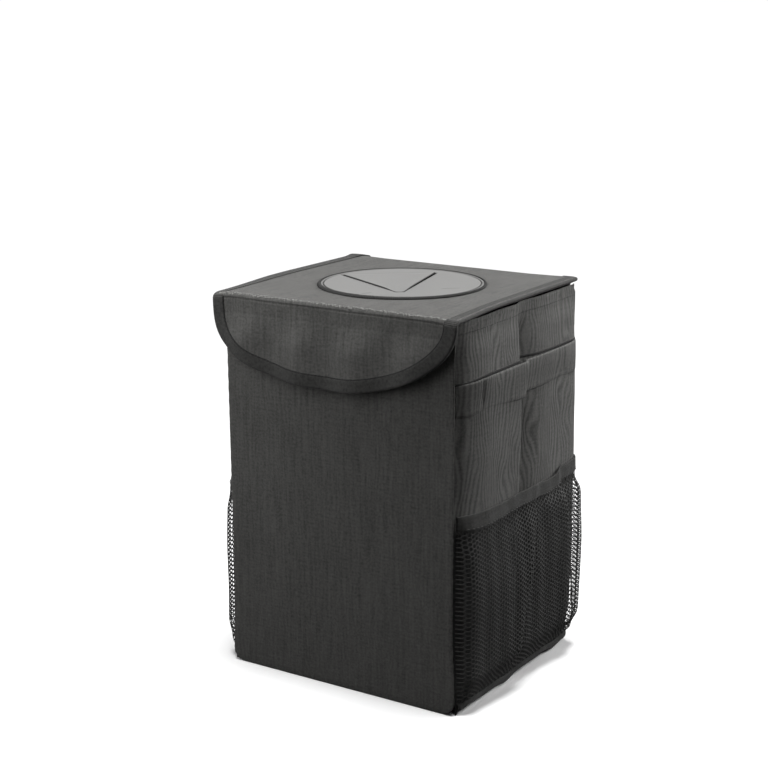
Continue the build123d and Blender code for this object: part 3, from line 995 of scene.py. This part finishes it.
def flap_depth(x):
    """How far the flap hangs below its start at one place across it."""
    full, round_off = FLAP_FULL[-1 if x < 0 else 1]
    return FLAP_DROP * max(1 - (abs(x) / LID_HALF) ** full, 0.0) ** round_off


def flap_wave(x, depth):
    """How far the hanging flap stands out in soft upright waves."""
    lean = x + 0.12 * depth
    broad = 1.6 * (1 + cos(2 * pi * (lean + 21) / 44)) * ease(3, 30, depth)
    fine = 0.3 * sin(lean / 7.3 + 2.0) * ease(20, 52, depth)
    return broad + (fine + 0.3 * wander(20, x, depth)) * ease(0, 8, depth)


def flap_outline():
    """Points along the flap's free edge as place across and depth, from its top left to its top right."""
    points = []
    steps = 400
    for step in range(steps + 1):
        turn = pi * step / steps
        full, round_off = FLAP_FULL[-1 if turn < pi / 2 else 1]
        across = LID_HALF * abs(cos(turn)) ** (2 / full)
        depth = FLAP_DROP * sin(turn) ** (2 * round_off) if 0 < step < steps else 0.0
        points.append(Vector((-across if turn < pi / 2 else across, depth)))
    return points


def lid_half_width(side, y):
    """Half the lid's width on one side at one depth, less its taper and its rounded back corner."""
    past = max(y - (LID_TAPE_END - LID_CORNER), 0.0)
    corner = LID_CORNER - sqrt(max(LID_CORNER ** 2 - past ** 2, 0.0))
    return LID_HALF - LID_TAPER[side] * ease(LID_FRONT, 60, y) - corner


def edging_frames():
    """Free edge of lid and flap from the left back corner, round the flap, to the right back corner: edge
    point, way in along the cloth and way out of its face."""
    lid_steps, fold_steps = 100, 8
    sides = {}
    for side in (-1, 1):
        middle = LID_EDGE[side][0]
        fold = middle - FLAP_START
        sides[side] = frames = []
        for step in range(lid_steps):
            y = LID_TAPE_END + (LID_FRONT - LID_TAPE_END) * step / lid_steps
            point = Vector((side * lid_half_width(side, y), y, middle))
            frames.append((point, Vector((-side, 0, 0)), Vector((0, 0, 1))))
        for step in range(fold_steps):
            turn = 0.5 * pi * step / fold_steps
            point = Vector((side * LID_HALF, LID_FRONT - fold * sin(turn), FLAP_START + fold * cos(turn)))
            frames.append((point, Vector((-side, 0, 0)), Vector((0, -sin(turn), cos(turn)))))
    outline = flap_outline()
    around = []
    for before, spot, after in zip([outline[0]] + outline, outline, outline[1:] + [outline[-1]]):
        along = (after - before).normalized()
        right = ease(70, LID_HALF, spot.x)
        fold = (LID_EDGE[-1][0] * (1 - right) + LID_EDGE[1][0] * right) - FLAP_START
        point = Vector((spot.x, LID_FRONT - fold, FLAP_START - spot.y))
        around.append((point, Vector((along.y, 0, along.x)), Vector((0, -1, 0))))
    return sides[-1] + around + sides[1][::-1]


EDGING = edging_frames()
EDGING_RUNS = [0.0]
for before, after in zip(EDGING, EDGING[1:]):
    EDGING_RUNS.append(EDGING_RUNS[-1] + (after[0] - before[0]).length)
EDGE_RUN = EDGING_RUNS[-1]
LID_RUN = LID_TAPE_END - LID_FRONT
FOLD_RUN = LID_RUN + 3.0


def edging_at(run):
    """Frame of the free edge at a run along it, with the tape's leg and half thickness there."""
    index = min(max(bisect(EDGING_RUNS, run), 1), len(EDGING) - 1)
    stretch = EDGING_RUNS[index] - EDGING_RUNS[index - 1]
    share = min(max((run - EDGING_RUNS[index - 1]) / max(stretch, 1e-9), 0.0), 1.0)
    edge, inward, outward = (a.lerp(b, share) for a, b in zip(EDGING[index - 1], EDGING[index]))
    on_flap = ease(LID_FRONT + 3, LID_FRONT - 1, edge.y)
    on_lid = LID_EDGE[-1 if edge.x < 0 else 1][1]
    leg = EDGING_LID + (EDGING_FLAP[0] - EDGING_LID) * on_flap
    half = on_lid + (EDGING_FLAP[1] - on_lid) * on_flap
    return edge, inward.normalized(), outward.normalized(), run, leg, half


def settle(bm):
    """Lets what is sewn to the edge follow the flap's waves, the lid's sag and its lump at the back left."""
    for vert in bm.verts:
        x, y, z = vert.co / MM
        wave = flap_wave(x, max(FLAP_START - z, 0.0))
        lump = 0.8 * exp(-((y - 76) / 5.0) ** 2) * ease(80, 90, -x)
        vert.co.y -= wave * MM
        vert.co.z += (lump - droop(x, y)) * MM


def cover_spot(run):
    """Place and outward direction on the lid's section, run along it from the flap's top to the back edge."""
    quarter = 0.5 * pi * LID_ROUND
    flat = LID_BACK - LID_FRONT
    if run < quarter:
        turn = run / LID_ROUND
        front = LID_FRONT - LID_ROUND * cos(turn)
        return front, LID_TOP - LID_ROUND + LID_ROUND * sin(turn), -cos(turn), sin(turn)
    if run < quarter + flat:
        return LID_FRONT + run - quarter, LID_TOP, 0.0, 1.0
    turn = min((run - quarter - flat) / LID_ROUND, 0.5 * pi)
    rest = max(run - 2 * quarter - flat, 0.0)
    back = LID_BACK + LID_ROUND * sin(turn)
    return back, LID_TOP - LID_ROUND + LID_ROUND * cos(turn) - rest, sin(turn), cos(turn)


def edge_roll(x, radius):
    """How far a rounded side edge falls away from the flat of the cloth."""
    near = max(radius - (LID_HALF - abs(x)), 0.0)
    return radius - sqrt(max(radius * radius - near * near, 0.0))


def open_hole(bm):
    """Round hole for the rubber insert in a grid of cloth."""
    inside = [f for f in bm.faces if hypot(*f.calc_center_median()[:2]) < (HOLE_RADIUS + 0.5) * MM]
    bmesh.ops.delete(bm, geom=inside, context="FACES")
    for vert in bm.verts:
        reach = hypot(vert.co.x, vert.co.y)
        if vert.is_boundary and reach < (HOLE_RADIUS + 8) * MM:
            vert.co.x *= HOLE_RADIUS * MM / reach
            vert.co.y *= HOLE_RADIUS * MM / reach


def fold_seam(depth):
    """How far the flap is drawn in along the seam under its fold and along the faint line below it."""
    return 0.4 * exp(-((depth - FOLD_SEAM) / 0.5) ** 2) + 0.1 * exp(-((depth - 10.0) / 0.9) ** 2)


def lid_cover():
    """One cloth: over the lid, round its front fold and down as the outside of the closure flap."""
    flap_share = 0.36
    quarter = 0.5 * pi * LID_ROUND
    tail = 0.4
    whole = 2 * quarter + LID_BACK - LID_FRONT + tail
    rows = ((0.0, 0.0), (0.13, quarter), (0.92, whole - quarter - tail), (1.0, whole))

    def place(s, t):
        share = (t + 1) / 2
        x = LID_HALF * sin(0.5 * pi * s)
        if share < flap_share:
            hang = 1 - share / flap_share
            depth = flap_depth(x) * hang ** 1.35
            y = FLAP_OUT - flap_wave(x, depth) + edge_roll(x, 0.6) + fold_seam(depth)
            z = FLAP_START + (LID_TOP - LID_ROUND - FLAP_START) * (1 - hang) - depth - droop(x, y)
            return (x, y, z), x, -depth
        lid_share = (share - flap_share) / (1 - flap_share)
        for (start, low), (stop, high) in zip(rows, rows[1:]):
            if lid_share <= stop:
                run = low + (high - low) * (lid_share - start) / (stop - start)
                break
        y, z, out_y, out_z = cover_spot(run)
        side = -1 if x < 0 else 1
        on_top = ease(0, quarter, run)
        fall = edge_roll(x, LID_EDGE_ROLL[side]) * on_top + edge_roll(x, 0.6) * (1 - on_top)
        lie = (0.22 * wander(38, x, y) + 0.12 * wander(11, x, y, 5) * out_z) * (1 - ease(78, 85, abs(x)))
        bumpy = 0.3 * wander(4, x, 3) * (1 - ease(quarter, quarter + 6, run)) * ease(0, 2, run)
        y += out_y * (lie + bumpy - fall)
        z += out_z * (lie + bumpy - fall) - droop(x, y)
        return (x * lid_half_width(side, y) / LID_HALF, y, z), x, run

    bm = cloth_grid(110, 140, place)
    open_hole(bm)
    made = piece("lid_cover_cloth", bm, shell_cloth)
    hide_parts("lid_cover", "closure_flap")
    thicken(made, THIN_CLOTH)
    width, length = 2 * LID_HALF + COVER_ADDED, whole + FLAP_DROP + COVER_ADDED
    cut_cloth(made, width, length, COVER_SHARE)
    return fold_with_flap(made)


def fold_with_flap(made):
    """Bakes a piece's placing into its mesh."""
    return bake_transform(made)


def lid_underside():
    """Lining of the lid, with the insert's hole."""
    half_y = (LID_BACK + LID_ROUND - LID_FRONT) / 2
    middle = (LID_BACK + LID_ROUND + LID_FRONT) / 2

    def place(s, t):
        y = middle + half_y * t
        side = -1 if s > 0 else 1
        x = -(lid_half_width(side, y) - 0.4) * s
        rise = 1.7 * ease(88, 91, x) - max(droop(x, y), 0.0)
        return (x, y, LID_BOTTOM + 0.15 + 0.2 * wander(30, x, y, 60) + rise), x, y

    bm = cloth_grid(60, 54, place)
    open_hole(bm)
    made = piece("lid_underside", bm, shell_cloth, "lid", ["lid_lining"])
    return cut_cloth(thicken(made, CLOTH), 2 * LID_HALF, 2 * half_y, UNDERSIDE_SHARE)


def hole_binding():
    """Overlocked edge of the lid's hole, seen from inside."""
    bm = bmesh.new()

    def path(share):
        turn = 2 * pi * share
        spot = Vector((cos(turn), sin(turn), 0)) * (HOLE_RADIUS + 1.2)
        return spot + Vector((0, 0, LID_BOTTOM - 0.1)), (0, 0, -1)

    sew(bm, path, 2 * pi * HOLE_RADIUS, 2.6, 2.3, 1.4, 0.0)
    return piece("hole_stitches", bm, dark_thread, "lid")


def flap_lining():
    """Inner layer of the closure flap."""

    def place(s, t):
        x = -(LID_HALF - 0.5) * sin(0.5 * pi * s)
        depth = (flap_depth(x) - 0.4) * (1 - t) / 2
        lifted = (LID_EDGE[1][0] - LID_EDGE[-1][0]) * ease(60, 84, x)
        y = FLAP_LINING_Y - lifted - flap_wave(x, depth)
        return (x, y, FLAP_START + 1.2 * (1 + t) / 2 - depth - droop(x, y)), x, depth

    made = piece("flap_lining", cloth_grid(90, 34, place), shell_cloth, "closure_flap")
    return cut_cloth(thicken(made, LINING), 2 * LID_HALF, FLAP_DROP + FLAP_ADDED, FLAP_SHARE)


def edge_tape():
    """Ribbed tape folded over the free edge: along both sides of the lid and round the flap."""

    def path(share):
        return edging_at(share * EDGE_RUN)

    bm = folded_tape(460, path, 6, EDGING_ACROSS)
    settle(bm)
    made = piece("edge_tape", bm, edging_tape)
    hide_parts("flap_binding", "left_lid_binding", "right_lid_binding")
    cut_cloth(made, EDGE_RUN, 2 * EDGING_ACROSS)
    return fold_with_flap(made)


# Rubber insert


def mould(made):
    """Gives rubber its thickness and painted shade on its cut edges; large faces set the shading beside them.
    """
    made.data.materials.append(painted_shade_rubber)
    thicken(made, RUBBER)
    made.modifiers["thickness"].material_offset_rim = 1
    made.modifiers.new("even_normals", "WEIGHTED_NORMAL").weight = 100
    return made


def insert_place(u, v, w):
    """Point of the insert from its own axes, w up from the lid's top."""
    x = u * cos(PUSH_TURN) - v * sin(PUSH_TURN)
    y = u * sin(PUSH_TURN) + v * cos(PUSH_TURN)
    return Vector((x, y, LID_TOP + w))


def insert_disc():
    """Moulded disc with a rounded bead, a groove and the push flap's opening."""
    bead = BEAD_WIDTH / 2
    groove_out = INSERT_RADIUS - BEAD_WIDTH
    groove_in = groove_out - GROOVE_WIDTH
    floor = INSERT_TOP - GROOVE_DEPTH
    outline = [(INSERT_RADIUS - 0.1, 0.0)]
    for step in range(11):
        turn = pi * step / 10
        swing = abs(cos(turn)) ** 0.7 * (1 if turn < pi / 2 else -1)
        outline.append((INSERT_RADIUS - bead + bead * swing, 0.35 + (BEAD_HEIGHT - 0.35) * sin(turn) ** 0.6))
    outline += [(groove_out - 0.1, floor), (groove_in + 0.1, floor), (groove_in, INSERT_TOP - 0.12),
                (groove_in - 0.3, INSERT_TOP)]
    bm = bmesh.new()
    ring = [bm.verts.new((reach * MM, 0, height * MM)) for reach, height in outline]
    profile = [bm.edges.new(pair) for pair in zip(ring, ring[1:])]
    bmesh.ops.spin(bm, geom=ring + profile, cent=(0, 0, 0), axis=(0, 0, 1), angle=2 * pi, steps=160,
                   use_merge=True)
    inner = [e for e in bm.edges if e.is_boundary and e.verts[0].co.length < groove_in * MM]
    bmesh.ops.contextual_create(bm, geom=inner)
    lean = atan2(PUSH_HALF - PUSH_TIP_HALF, PUSH_REACH - PUSH_HINGE)
    lines = [((PUSH_BASE - PUSH_GAP, 0), (-1, 0)), ((PUSH_REACH + SLIT, 0), (1, 0))]
    for side in (1, -1):
        lines.append(((PUSH_HINGE, PUSH_SHIFT + side * (PUSH_HALF + SLIT)), (sin(lean), side * cos(lean))))
    for (u, v), (out_u, out_v) in lines:
        bmesh.ops.bisect_plane(bm, geom=all_parts(bm), plane_co=(u * MM, v * MM, 0),
                               plane_no=(out_u, out_v, 0), dist=1e-7)

    def in_opening(spot):
        at = spot / MM
        return all((at.x - u) * out_u + (at.y - v) * out_v < 0 for (u, v), (out_u, out_v) in lines)

    gone = [f for f in bm.faces if in_opening(f.calc_center_median())]
    bmesh.ops.delete(bm, geom=gone, context="FACES")
    bmesh.ops.remove_doubles(bm, verts=bm.verts, dist=1e-7)
    bmesh.ops.recalc_face_normals(bm, faces=bm.faces)
    if sum(f.normal.z for f in bm.faces) < 0:
        bmesh.ops.reverse_faces(bm, faces=bm.faces)
    # Painted shade: the groove's floor takes the near-black rubber.
    for face in bm.faces:
        spot = face.calc_center_median() / MM
        if groove_in < hypot(spot.x, spot.y) < groove_out and spot.z < INSERT_TOP - 0.2:
            face.material_index = 1
    for vert in bm.verts:
        vert.co = insert_place(*(vert.co / MM)) * MM
    made = piece("insert_disc", bm, insert_rubber, "lid", ["insert_plate"])
    return mould(made)


def push_tongue():
    """Tongue of the insert: thin, cut free along its slits, where it stands a little proud of the disc."""

    def place(s, t):
        u = PUSH_BASE - PUSH_GAP + (PUSH_REACH - PUSH_BASE + PUSH_GAP) * (t + 1) / 2
        half = PUSH_HALF + (PUSH_TIP_HALF - PUSH_HALF) * (u - PUSH_BASE) / (PUSH_REACH - PUSH_BASE)
        near_tip = max(u - PUSH_REACH + PUSH_TIP_ROUND, 0.0) / PUSH_TIP_ROUND
        v = -s * (half - PUSH_TIP_ROUND * (1 - sqrt(max(1 - near_tip * near_tip, 0.0))))
        curl = (0.8 + 0.3 * v / PUSH_HALF) * abs(s) ** 3
        proud = curl * ease(PUSH_REACH - 1, PUSH_REACH - 16, u) * ease(PUSH_BASE, PUSH_BASE + 3, u)
        return insert_place(u, v + PUSH_SHIFT, INSERT_TOP + proud), u, v

    made = piece("push_tongue", cloth_grid(36, 60, place), insert_rubber)
    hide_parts("push_flap")
    mould(made)
    fold_height = 0.65
    start = insert_place(PUSH_BASE + 0.2, PUSH_SHIFT, fold_height) * MM
    end = insert_place(PUSH_BASE + 6.0, PUSH_SHIFT, fold_height) * MM
    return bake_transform(made)


def insert_stitches():
    """Overcast border that holds the insert to the lid, sloping down from its edge, partly painted shade."""
    bm = bmesh.new()
    count = 290
    for step in range(count):
        turn = 2 * pi * step / count
        radial = Vector((cos(turn), sin(turn), 0))
        skew = Vector((-sin(turn), cos(turn), 0)) * (0.25 + 0.2 * wander(1.7, step, 3))
        spot = radial * (INSERT_RADIUS + 1.2) + Vector((0, 0, LID_TOP + 0.8))

        def line(share):
            return spot + (radial + skew - Vector((0, 0, 0.6))) * (share - 0.5), (0, 0, 1)

        # Stitches grow longer towards the front, where they also paint the shade under the disc's front edge.
        near = (0.5 - 0.5 * sin(turn)) ** 2
        sew(bm, line, 1.0, 1.0, 2.2 + 2.2 * near + 0.5 * wander(1.3, step, 7), 1.5, 0.0)
    return piece("insert_border", bm, border_thread_and_shade, "lid")


# Hinge strip, strap and fastener strips


def hinge_strip():
    """Cloth hinge: sewn to the back, up to a roll along the lid's hinge line."""
    roll_start = HINGE_STOPS[-1][0]

    def place(s, t):
        x, share = HINGE_HALF * s, (t + 1) / 2
        for (start, y0, z0), (stop, y1, z1) in zip(HINGE_STOPS, HINGE_STOPS[1:]):
            if share <= stop:
                part = (share - start) / (stop - start)
                y, z = y0 + (y1 - y0) * part, z0 + (z1 - z0) * part
                break
        else:
            turn = 2 * pi * 0.82 * (share - roll_start) / (1 - roll_start) - 0.5 * pi
            y, z = HINGE[0] - 0.2 + HINGE_ROLL * cos(turn), HINGE[1] + HINGE_ROLL * sin(turn)
        bow = 0.15 * (1 + wander(20, x, z)) * ease(248, 254, z) * (1 - ease(256, 259, z))
        return (-x, y + bow, z), x, 45 * share

    made = piece("hinge_strip", cloth_grid(70, 44, place), shell_cloth, "bin", ["hinge_tape"])
    return cut_cloth(thicken(made, THIN_CLOTH), 2 * HINGE_HALF, HINGE_CUT)


def strap_out(x):
    """How far the strap's middle stands from the bin's middle plane at one place across."""
    return STRAP_NEAR + STRAP_BOW * (1 - ease(STRAP_FLAT, STRAP_SEWN, abs(x)))


def strap_face(x):
    """How far the strap's outer face stands from the bin's middle plane."""
    return strap_out(x) + WEBBING / 2


def hanging_strap():
    """Webbing sewn to the back at both ends, with its ends turned under."""

    def place(s, t):
        x = STRAP_HALF * s
        edge = 0.35 * ease(0.8, 1.0, abs(t))
        across = 0.5 * STRAP_WIDTH * t
        return (-x, strap_face(x) - edge, STRAP_Z + across), x, across

    bm = cloth_grid(100, 14, place)
    made = piece("hanging_strap", bm, strap_webbing, "bin", ["hang_strap"])
    return cut_cloth(thicken(made, WEBBING), 2 * STRAP_HALF + STRAP_ADDED, STRAP_WIDTH)


def strap_slide():
    """Moulded three-bar slide on the strap."""
    bm = bmesh.new()
    (near, far), low, high = SLIDE_Y, STRAP_Z - SLIDE_REACH, STRAP_Z + SLIDE_REACH
    back, front = near - SLIDE_WALL, far + SLIDE_WALL
    for side in (1, -1):
        rail = sorted(STRAP_Z + side * height for height in SLIDE_RAIL)
        box_bar(bm, (-SLIDE_HALF, back, rail[0]), (SLIDE_HALF, front, rail[1]), SLIDE_EDGE)
    for side in (1, -1):
        post = sorted((side * SLIDE_POST, side * SLIDE_HALF))
        box_bar(bm, (post[0], far, low), (post[1], front, high), SLIDE_EDGE)
    box_bar(bm, (-SLIDE_WALL, back, low), (SLIDE_WALL, near, high), SLIDE_EDGE)
    bmesh.ops.recalc_face_normals(bm, faces=bm.faces)
    return piece("slide_bars", bm, slide_plastic, "bin", ["strap_slide"])


def fastener(name, faces, body, nodes, hooked):
    """Fastener strip: a tape with rows of small hooks or a bed of loops on the face that meets the other."""
    bm = bmesh.new()
    low, high = FASTENER_Z
    back, front = faces
    if hooked:
        toward, tall, root, (across, up) = 1, HOOK_TALL, back - HOOK_TALL, HOOK_GRID
        tape_low, tape_high = front, root
    else:
        toward, tall, root, (across, up) = -1, LOOP_TALL, front + LOOP_TALL, LOOP_GRID
        tape_low, tape_high = root, back
    box_bar(bm, (-FASTENER_HALF, tape_low, low), (FASTENER_HALF, tape_high, high), FASTENER_EDGE)
    cut_rows(bm, 0, -FASTENER_HALF, FASTENER_HALF, 3.0)
    half, margin = FASTENER_HALF - 2.0, 1.6
    for row in range(up):
        for column in range(across):
            x = (column + 0.5 + 0.25 * (row % 2)) / across * 2 * half - half
            z = low + margin + (row + 0.5) / up * (high - low - 2 * margin)
            lean = 0.35 * wander(2.0, x, z, 4)
            turn = Matrix.Rotation(toward * -0.5 * pi + lean, 4, "X")
            spot = Vector((x, root + toward * tall * 0.45, z)) * MM
            bmesh.ops.create_cone(bm, segments=5, radius1=0.5 * MM, radius2=0.28 * MM, depth=tall * MM,
                                  cap_ends=True, matrix=Matrix.Translation(spot) @ turn)
    if hooked:
        for vert in bm.verts:
            vert.co.y -= flap_wave(vert.co.x / MM, FLAP_START - vert.co.z / MM) * MM
    bmesh.ops.recalc_face_normals(bm, faces=bm.faces)
    return piece(name, bm, fastener_pile, body, nodes)


# Sewing


def sew_strap_end(bm, end):
    """Box of stitches with one diagonal on an end of the strap."""
    inner, outer, low, high = STRAP_SEWN + 2, STRAP_HALF - 2, STRAP_Z - 10, STRAP_Z + 10
    corners = ((inner, low), (outer, low), (outer, high), (inner, high), (inner, low), (outer, high))
    for (x0, z0), (x1, z1) in zip(corners, corners[1:]):
        def box_line(share):
            x = end * (x0 + (x1 - x0) * share)
            return Vector((x, strap_face(x), z0 + (z1 - z0) * share)), Vector((0, 1, 0))

        sew(bm, box_line, hypot(x1 - x0, z1 - z0), 2.6)


def bin_stitches():
    """Thread on the box: side hems, bands, pocket hems, hinge strip and strap ends."""
    bm = bmesh.new()
    for side in (-1, 1):
        def hem_line(share):
            y = (2 * share - 1) * (SEAM_Y - 3)
            z = side_top(side, y) - HEM_LEG + 1.0
            return Vector((side * (side_reach(side, y, z) + 0.35), side * y, z)), Vector((side, 0, 0))

        def pocket_line(share):
            y = (2 * share - 1) * (SEAM_Y - 3)
            z = pocket_rim(side, y) - POCKET_HEM + 1.4
            return Vector((side * (pocket_reach(side, y, z) + 1.4), side * y, z)), Vector((side, 0, 0))

        def tack_line(share):
            z = BAND_BOTTOM + 1 + (BAND_TOP - BAND_BOTTOM - 2) * share
            reach = band_reach(side, BAND_TACK_Y, z) - 0.1
            return Vector((side * reach, side * BAND_TACK_Y, z)), Vector((side, 0, 0))

        sew(bm, hem_line, 2 * SEAM_Y - 6, 3.1)
        sew(bm, pocket_line, 2 * SEAM_Y - 6, 3.1)
        sew(bm, tack_line, BAND_TOP - BAND_BOTTOM - 2, 2.8)
    for end in (-1, 1):
        sew_strap_end(bm, end)
    for height in HINGE_SEAMS:
        def hinge_line(share):
            return Vector((-HINGE_HALF * (2 * share - 1), HINGE_SEAM_Y, height)), Vector((0, 1, 0))

        sew(bm, hinge_line, 2 * HINGE_HALF, 3.2)
    return piece("bin_stitches", bm, sewing_thread, "bin")


def edge_stitches(name, body, spans):
    """Thread along the inner edge of the edge tape on both faces, over some spans of it."""
    bm = bmesh.new()
    for start, stop in spans:
        for face in (1, -1):
            def line(share):
                edge, inward, outward, _, leg, half = edging_at(start + (stop - start) * share)
                return edge + inward * (leg - 0.3) + outward * (face * (half - 0.15)), outward * face

            # The close near-black stitches also paint the shade of the groove between tape and cloth.
            sew(bm, line, stop - start, 2.5, 2.2, 0.6, 0.0)
    settle(bm)
    return piece(name, bm, dark_thread, body)


def fold_stitches():
    """Thread in the seam under the flap's fold."""
    bm = bmesh.new()

    def line(share):
        x = (2 * share - 1) * (LID_HALF - 9)
        return Vector((x, FLAP_OUT + 0.45, FLAP_START - FOLD_SEAM)), Vector((0, -1, 0))

    sew(bm, line, 2 * (LID_HALF - 9), 3.0, 2.5, 0.55, 0.0)
    settle(bm)
    return piece("fold_stitches", bm, dark_thread, "closure_flap")


def fold_ridge():
    """Overcast stitches across the lid's front fold and along its right edge, their light thread partly a
    painted highlight.
    """
    bm = bmesh.new()

    def cross_stitch(spot, along, outward, step):
        def line(share):
            return spot + along * (share - 0.5), outward

        sew(bm, line, 1.0, 1.0, 1.7 + 0.9 * wander(2, step, 7), 0.8 + 0.4 * wander(1.6, step, 4), 0.0)

    count, side_count, side_step = 270, 70, 2.3
    for step in range(count):
        x = (2 * (step + 0.5) / count - 1) * (LID_HALF - 3) + 0.8 * wander(3, step, 1)
        turn = radians(62 + 40 * wander(1.3, step, 2))
        outward = Vector((0, -cos(turn), sin(turn)))
        along = Vector((0.5 * wander(1.7, step, 5), sin(turn), cos(turn))).normalized()
        cross_stitch(Vector((x, LID_FRONT, LID_TOP - LID_ROUND)) + outward * LID_ROUND, along, outward, step)
    middle, half = LID_EDGE[1]
    for step in range(side_count):
        y = LID_FRONT + 2 + side_step * step
        along = Vector((1, 0.7 * wander(1.7, step, 25), 0)).normalized()
        x = lid_half_width(1, y) - 1.6 + 0.7 * wander(1.4, step, 22)
        cross_stitch(Vector((x, y, middle + half - 0.05)), along, Vector((0, 0, 1)), step + count)
    settle(bm)
    return piece("fold_ridge", bm, ridge_thread_and_highlight, "lid")


# The bin

stiff_panel("front_cloth", -1, ["front_panel"])
stiff_panel("back_cloth", 1, ["back_panel"])
base_cloth()
for word, side in (("left", -1), ("right", 1)):
    soft_side(f"{word}_side_cloth", side, [f"{word}_gusset"])
    side_hem(f"{word}_side_hem", side)
    side_band(f"{word}_side_band", side, [f"{word}_band"])
    pocket_net(f"{word}_net", side, [f"{word}_pocket_net"], f"{word}_pocket_hem")
liner_bag()
rim_edging()
lid_cover()
lid_underside()
hole_binding()
flap_lining()
edge_tape()
insert_disc()
push_tongue()
insert_stitches()
hinge_strip()
hanging_strap()
strap_slide()
fastener("loop_bed", LOOP_STRIP_Y, "bin", ["loop_strip"], False)
fastener("hook_rows", HOOK_STRIP_Y, "closure_flap", ["hook_strip"], True)
bin_stitches()
edge_stitches("lid_edge_stitches", "lid", ((1, LID_RUN - 1), (EDGE_RUN - LID_RUN + 1, EDGE_RUN - 1)))
edge_stitches("flap_edge_stitches", "closure_flap", ((FOLD_RUN, EDGE_RUN - FOLD_RUN),))
fold_stitches()
fold_ridge()
front_stiffener()
for node in ("back_board", "base_board", "lid_board"):
    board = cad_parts[node]
    board.data.materials.clear()
    board.data.materials.append(stiff_board)


# Floor, light and camera


def floor_finish():
    """Pale floor that is bright to the camera and throws little light back at the bin."""
    material, shader, start = new_finish("pale_floor", {"Roughness": 0.9, "Specular IOR Level": 0.0})
    seen = start.node("ShaderNodeLightPath")
    colour = seen.blend((0.05, 0.05, 0.05, 1), (0.95, 0.95, 0.95, 1))
    material.node_tree.links.new(colour.socket, shader.inputs["Base Color"])
    return material


def make_floor():
    """Wide flat floor under the bin."""
    bm = bmesh.new()
    bmesh.ops.create_grid(bm, x_segments=2, y_segments=2, size=30.0)
    mesh = bpy.data.meshes.new("floor")
    bm.to_mesh(mesh)
    bm.free()
    mesh.materials.append(floor_finish())
    floor = scene_object("floor", mesh)


def make_world():
    """White to the camera and in reflections, and no light on anything else."""
    world = bpy.data.worlds.new("studio")
    bpy.context.scene.world = world
    world.use_nodes = True
    tree = world.node_tree
    start = Shade(tree)
    camera_ray = start.node("ShaderNodeLightPath")
    glossy_ray = start.node("ShaderNodeLightPath", output="Is Glossy Ray")
    through_ray = start.node("ShaderNodeLightPath", output="Is Transmission Ray")
    white = start.math("MAXIMUM", camera_ray, start.math("MAXIMUM", glossy_ray, through_ray))
    level = white.blend((0, 0, 0, 1), (1, 1, 1, 1))
    tree.links.new(level.socket, tree.nodes["Background"].inputs["Color"])


def way_to(azimuth, elevation):
    """Direction of a place, as azimuth from the front and elevation in degrees."""
    turn, rise = radians(azimuth), radians(elevation)
    return Vector((sin(turn) * cos(rise), -cos(turn) * cos(rise), sin(rise)))


def add_sun(name, strength, angle, azimuth, elevation):
    """Soft light from far away, with its direction as azimuth from the front and elevation in degrees."""
    lamp = bpy.data.lights.new(name, "SUN")
    lamp.energy = strength
    lamp.angle = radians(angle)
    source = scene_object(name, lamp)
    source.rotation_euler = way_to(azimuth, elevation).to_track_quat("Z", "Y").to_euler()


def add_softbox(name, power, size, place, target):
    """Square lamp at a place, facing its target, in metres."""
    lamp = bpy.data.lights.new(name, "AREA")
    lamp.energy = power
    lamp.size = size
    source = scene_object(name, lamp)
    source.location = place
    source.rotation_euler = (Vector(target) - Vector(place)).to_track_quat("-Z", "Y").to_euler()


def make_camera():
    """Camera at the photograph's place."""
    back = way_to(VIEW_AZIMUTH, VIEW_ELEVATION)
    lens = bpy.data.cameras.new("camera")
    lens.lens = LENS
    lens.sensor_width = SENSOR
    lens.shift_x, lens.shift_y = LENS_SHIFT
    camera = scene_object("camera", lens)
    camera.location = Vector(VIEW_TARGET) + back * VIEW_DISTANCE
    camera.rotation_euler = (-back).to_track_quat("-Z", "Y").to_euler()
    bpy.context.scene.camera = camera


make_floor()
make_world()
add_sun("overhead", strength=3.4, angle=20, azimuth=60, elevation=87)
add_softbox("front_box", power=0.92, size=0.38, place=(-0.18, -0.30, 0.37), target=(-0.02, -0.08, 0.24))
add_softbox("back_box", power=6.5, size=0.4, place=(0.6, 0.55, 0.55), target=(0.09, 0, 0.25))
make_camera()
bpy.context.scene.view_settings.view_transform = "Standard"
